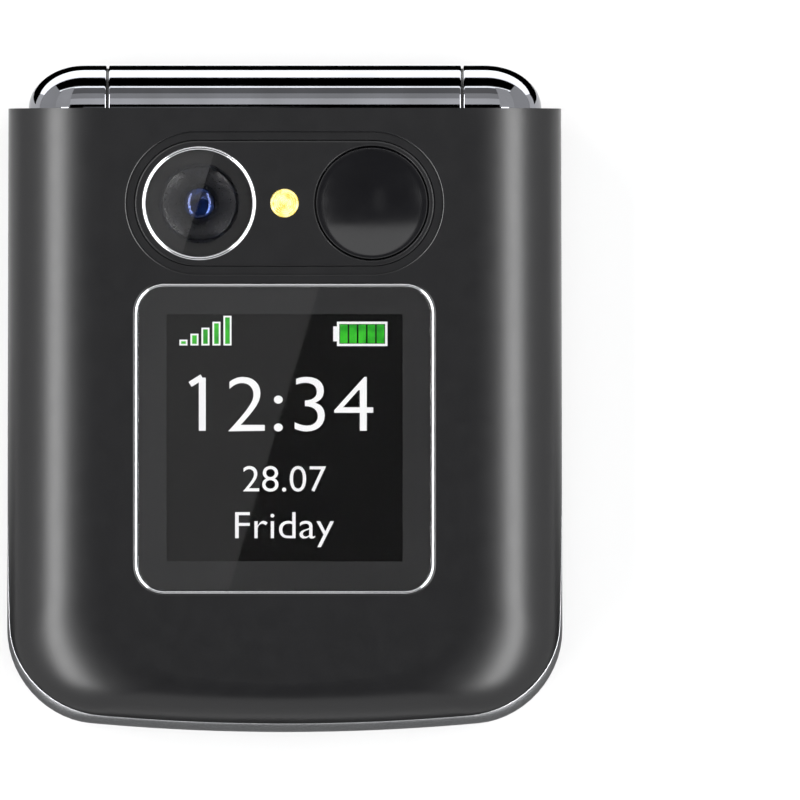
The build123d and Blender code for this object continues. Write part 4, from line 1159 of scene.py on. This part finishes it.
def staging(name, bm, material):
    """Puts a shape in the studio, as no part of the phone."""
    mesh = bpy.data.meshes.new(name)
    bm.to_mesh(mesh)
    bm.free()
    mesh.materials.append(material)
    made = put(name, mesh)
    return made


def card(name, corners, material):
    """Flat card in the studio, seen only in reflections."""
    bm = bmesh.new()
    bm.faces.new([bm.verts.new(corner) for corner in corners])
    made = staging(name, bm, material)
    made.visible_camera = False
    made.visible_shadow = False
    made.visible_diffuse = False


def wide_card(name, half_width, near, far, material):
    """Card that lies across the studio, between two (Y, Z)."""
    card(name, [(-half_width, *near), (half_width, *near), (half_width, *far), (-half_width, *far)],
         material)


def softbox(name, side):
    """Long softbox beside the phone, turned towards it."""
    lamp = bpy.data.lights.new(name, "AREA")
    lamp.shape, lamp.energy = "RECTANGLE", SOFTBOX_POWER
    lamp.size, lamp.size_y = SOFTBOX
    made = put(name, lamp)
    away = Vector((side * sin(SOFTBOX_TILT), 0, cos(SOFTBOX_TILT)))
    made.location = away * SOFTBOX_FAR
    made.rotation_mode = "QUATERNION"
    made.rotation_quaternion = away.to_track_quat("Z", "Y")
    made.visible_camera = False


def paper_floor():
    """White paper: matt, and glowing a little where it is seen, so that it shows as a white page."""
    paper = bpy.data.materials.new("white_paper_floor")
    tree = blank(paper)
    rays = add(tree, "ShaderNodeLightPath").outputs
    seen = add(tree, "ShaderNodeMath", {0: rays["Is Camera Ray"], 1: rays["Is Transmission Ray"]},
               operation="MAXIMUM")
    part = add(tree, "ShaderNodeMath", {0: seen.outputs[0], 1: FLOOR_GLOW}, operation="MULTIPLY")
    matt = add(tree, "ShaderNodeBsdfDiffuse", {"Color": linear("#f0f0f0")})
    glow = add(tree, "ShaderNodeEmission", {"Color": (1, 1, 1, 1), "Strength": 1.0})
    mix = add(tree, "ShaderNodeMixShader", {0: part.outputs[0], 1: matt.outputs[0], 2: glow.outputs[0]})
    under = add(tree, "ShaderNodeNewGeometry")       # seen from below, the floor lets the phone show
    clear = add(tree, "ShaderNodeBsdfTransparent")
    mix = add(tree, "ShaderNodeMixShader", {0: under.outputs["Backfacing"], 1: mix.outputs[0],
                                            2: clear.outputs[0]})
    add(tree, "ShaderNodeOutputMaterial", {"Surface": mix.outputs[0]})
    floor = bmesh.new()
    bmesh.ops.create_grid(floor, x_segments=1, y_segments=1, size=3.0)
    staging("studio_floor", floor, paper)


def white_world():
    """World that is white where it is seen or mirrored, and dimmer as a light."""
    world = bpy.data.worlds.new("studio_world")
    bpy.context.scene.world = world
    tree = blank(world)
    rays = add(tree, "ShaderNodeLightPath").outputs
    seen = rays["Is Camera Ray"]
    for kind in ("Is Glossy Ray", "Is Transmission Ray"):
        seen = add(tree, "ShaderNodeMath", {0: seen, 1: rays[kind]}, operation="MAXIMUM").outputs[0]
    strength = add(tree, "ShaderNodeMapRange", {"Value": seen, "To Min": WORLD_LIGHT, "To Max": 1.0})
    back = add(tree, "ShaderNodeBackground", {"Color": (1, 1, 1, 1), "Strength": strength.outputs["Result"]})
    add(tree, "ShaderNodeOutputWorld", {"Surface": back.outputs[0]})


def studio():
    """Floor, world, softboxes, and the cards that the phone mirrors; sizes in metres."""
    paper_floor()
    white_world()
    softbox("softbox_left", -1)
    softbox("softbox_right", 1)
    black = studio_material("black_flag", 0.0)
    high = 2.6
    wide_card("flag_overhead", 1.28, (-2.4, high), (2.4, high), black)

    # Card whose edge crosses both windows at a slant: places in mm where its outline shows in them.
    outline = ((-60, 60), (3.3, 60), (-11.2, 14.2), (4.4, 14.0), (-17.6, -60), (-60, -60))
    low = 1.2
    reach = 1 + low / CAMERA_DISTANCE
    card("slanted_card", [((CAMERA_SPOT[0] + (x - CAMERA_SPOT[0]) * reach) * MM,
                           (CAMERA_SPOT[1] + (y - CAMERA_SPOT[1]) * reach) * MM, low) for x, y in outline],
         studio_material("grey_card", 0.3))

    # Cards behind the hinge: what the barrel mirrors, by angle in degrees from overhead.
    axis, away = AXIS_Y * MM, 1.6
    for name, begin, end, strength in (
            ("barrel_card_high", 10, 26, 1.6), ("barrel_card_middle", 26, 40, 0.9),
            ("barrel_card_low", 40, 56, 0.4), ("barrel_line", 57, 61, 5.0), ("barrel_flag", 62, 92, 0.0)):
        near, far = ((axis + away * sin(radians(angle)), away * cos(radians(angle)))
                     for angle in (begin, end))
        wide_card(name, 1.2, near, far, studio_material(name, strength))
    behind, tall, half_width = (BARREL + AXIS_Y + 16) * MM, 0.012, 0.06
    wide_card("reflector_behind", half_width, (behind, 0), (behind, tall),
              studio_material("reflector_behind", 5.0))

    # Small hoods that keep the softboxes out of the domes: places in mm from the hinge axis.
    hood = studio_material("dome_hood", 1.2)
    for name, side in (("hood_left", -1), ("hood_right", 1)):
        spots = ((27.5, 0.6), (37, 0.6), (37, 20), (27.5, 20))
        card(name, [(side * x * MM, (AXIS_Y + y) * MM, 24 * MM) for x, y in spots], hood)

    # Mats just over the floor, in front of the free end and behind the barrel.
    begin, end, lift = (BARREL + AXIS_Y + 0.5) * MM, behind - 0.001, 0.0003
    chin, fade = (AXIS_Y - BODY_LENGTH) * MM, 0.045
    wide_card("mat_at_chin", 0.12, (chin - 0.07, lift), (chin + fade, lift),
              studio_material("dark_mat", 0.14, (chin + 0.01, chin + fade)))
    wide_card("flag_behind", half_width, (begin, lift), (end, lift), black)


def camera_view():
    """Camera straight above the lid."""
    data = bpy.data.cameras.new("product_camera")
    data.type, data.sensor_width = "PERSP", 36.0
    data.lens = data.sensor_width * CAMERA_DISTANCE / (VIEW_WIDTH * MM)
    data.clip_start, data.clip_end = 0.1, 20
    made = put("product_camera", data)
    made.location = (CAMERA_SPOT[0] * MM, CAMERA_SPOT[1] * MM, 2 * HALF * MM + CAMERA_DISTANCE)
    bpy.context.scene.camera = made


studio()
camera_view()
bpy.context.scene.view_settings.view_transform = "Standard"
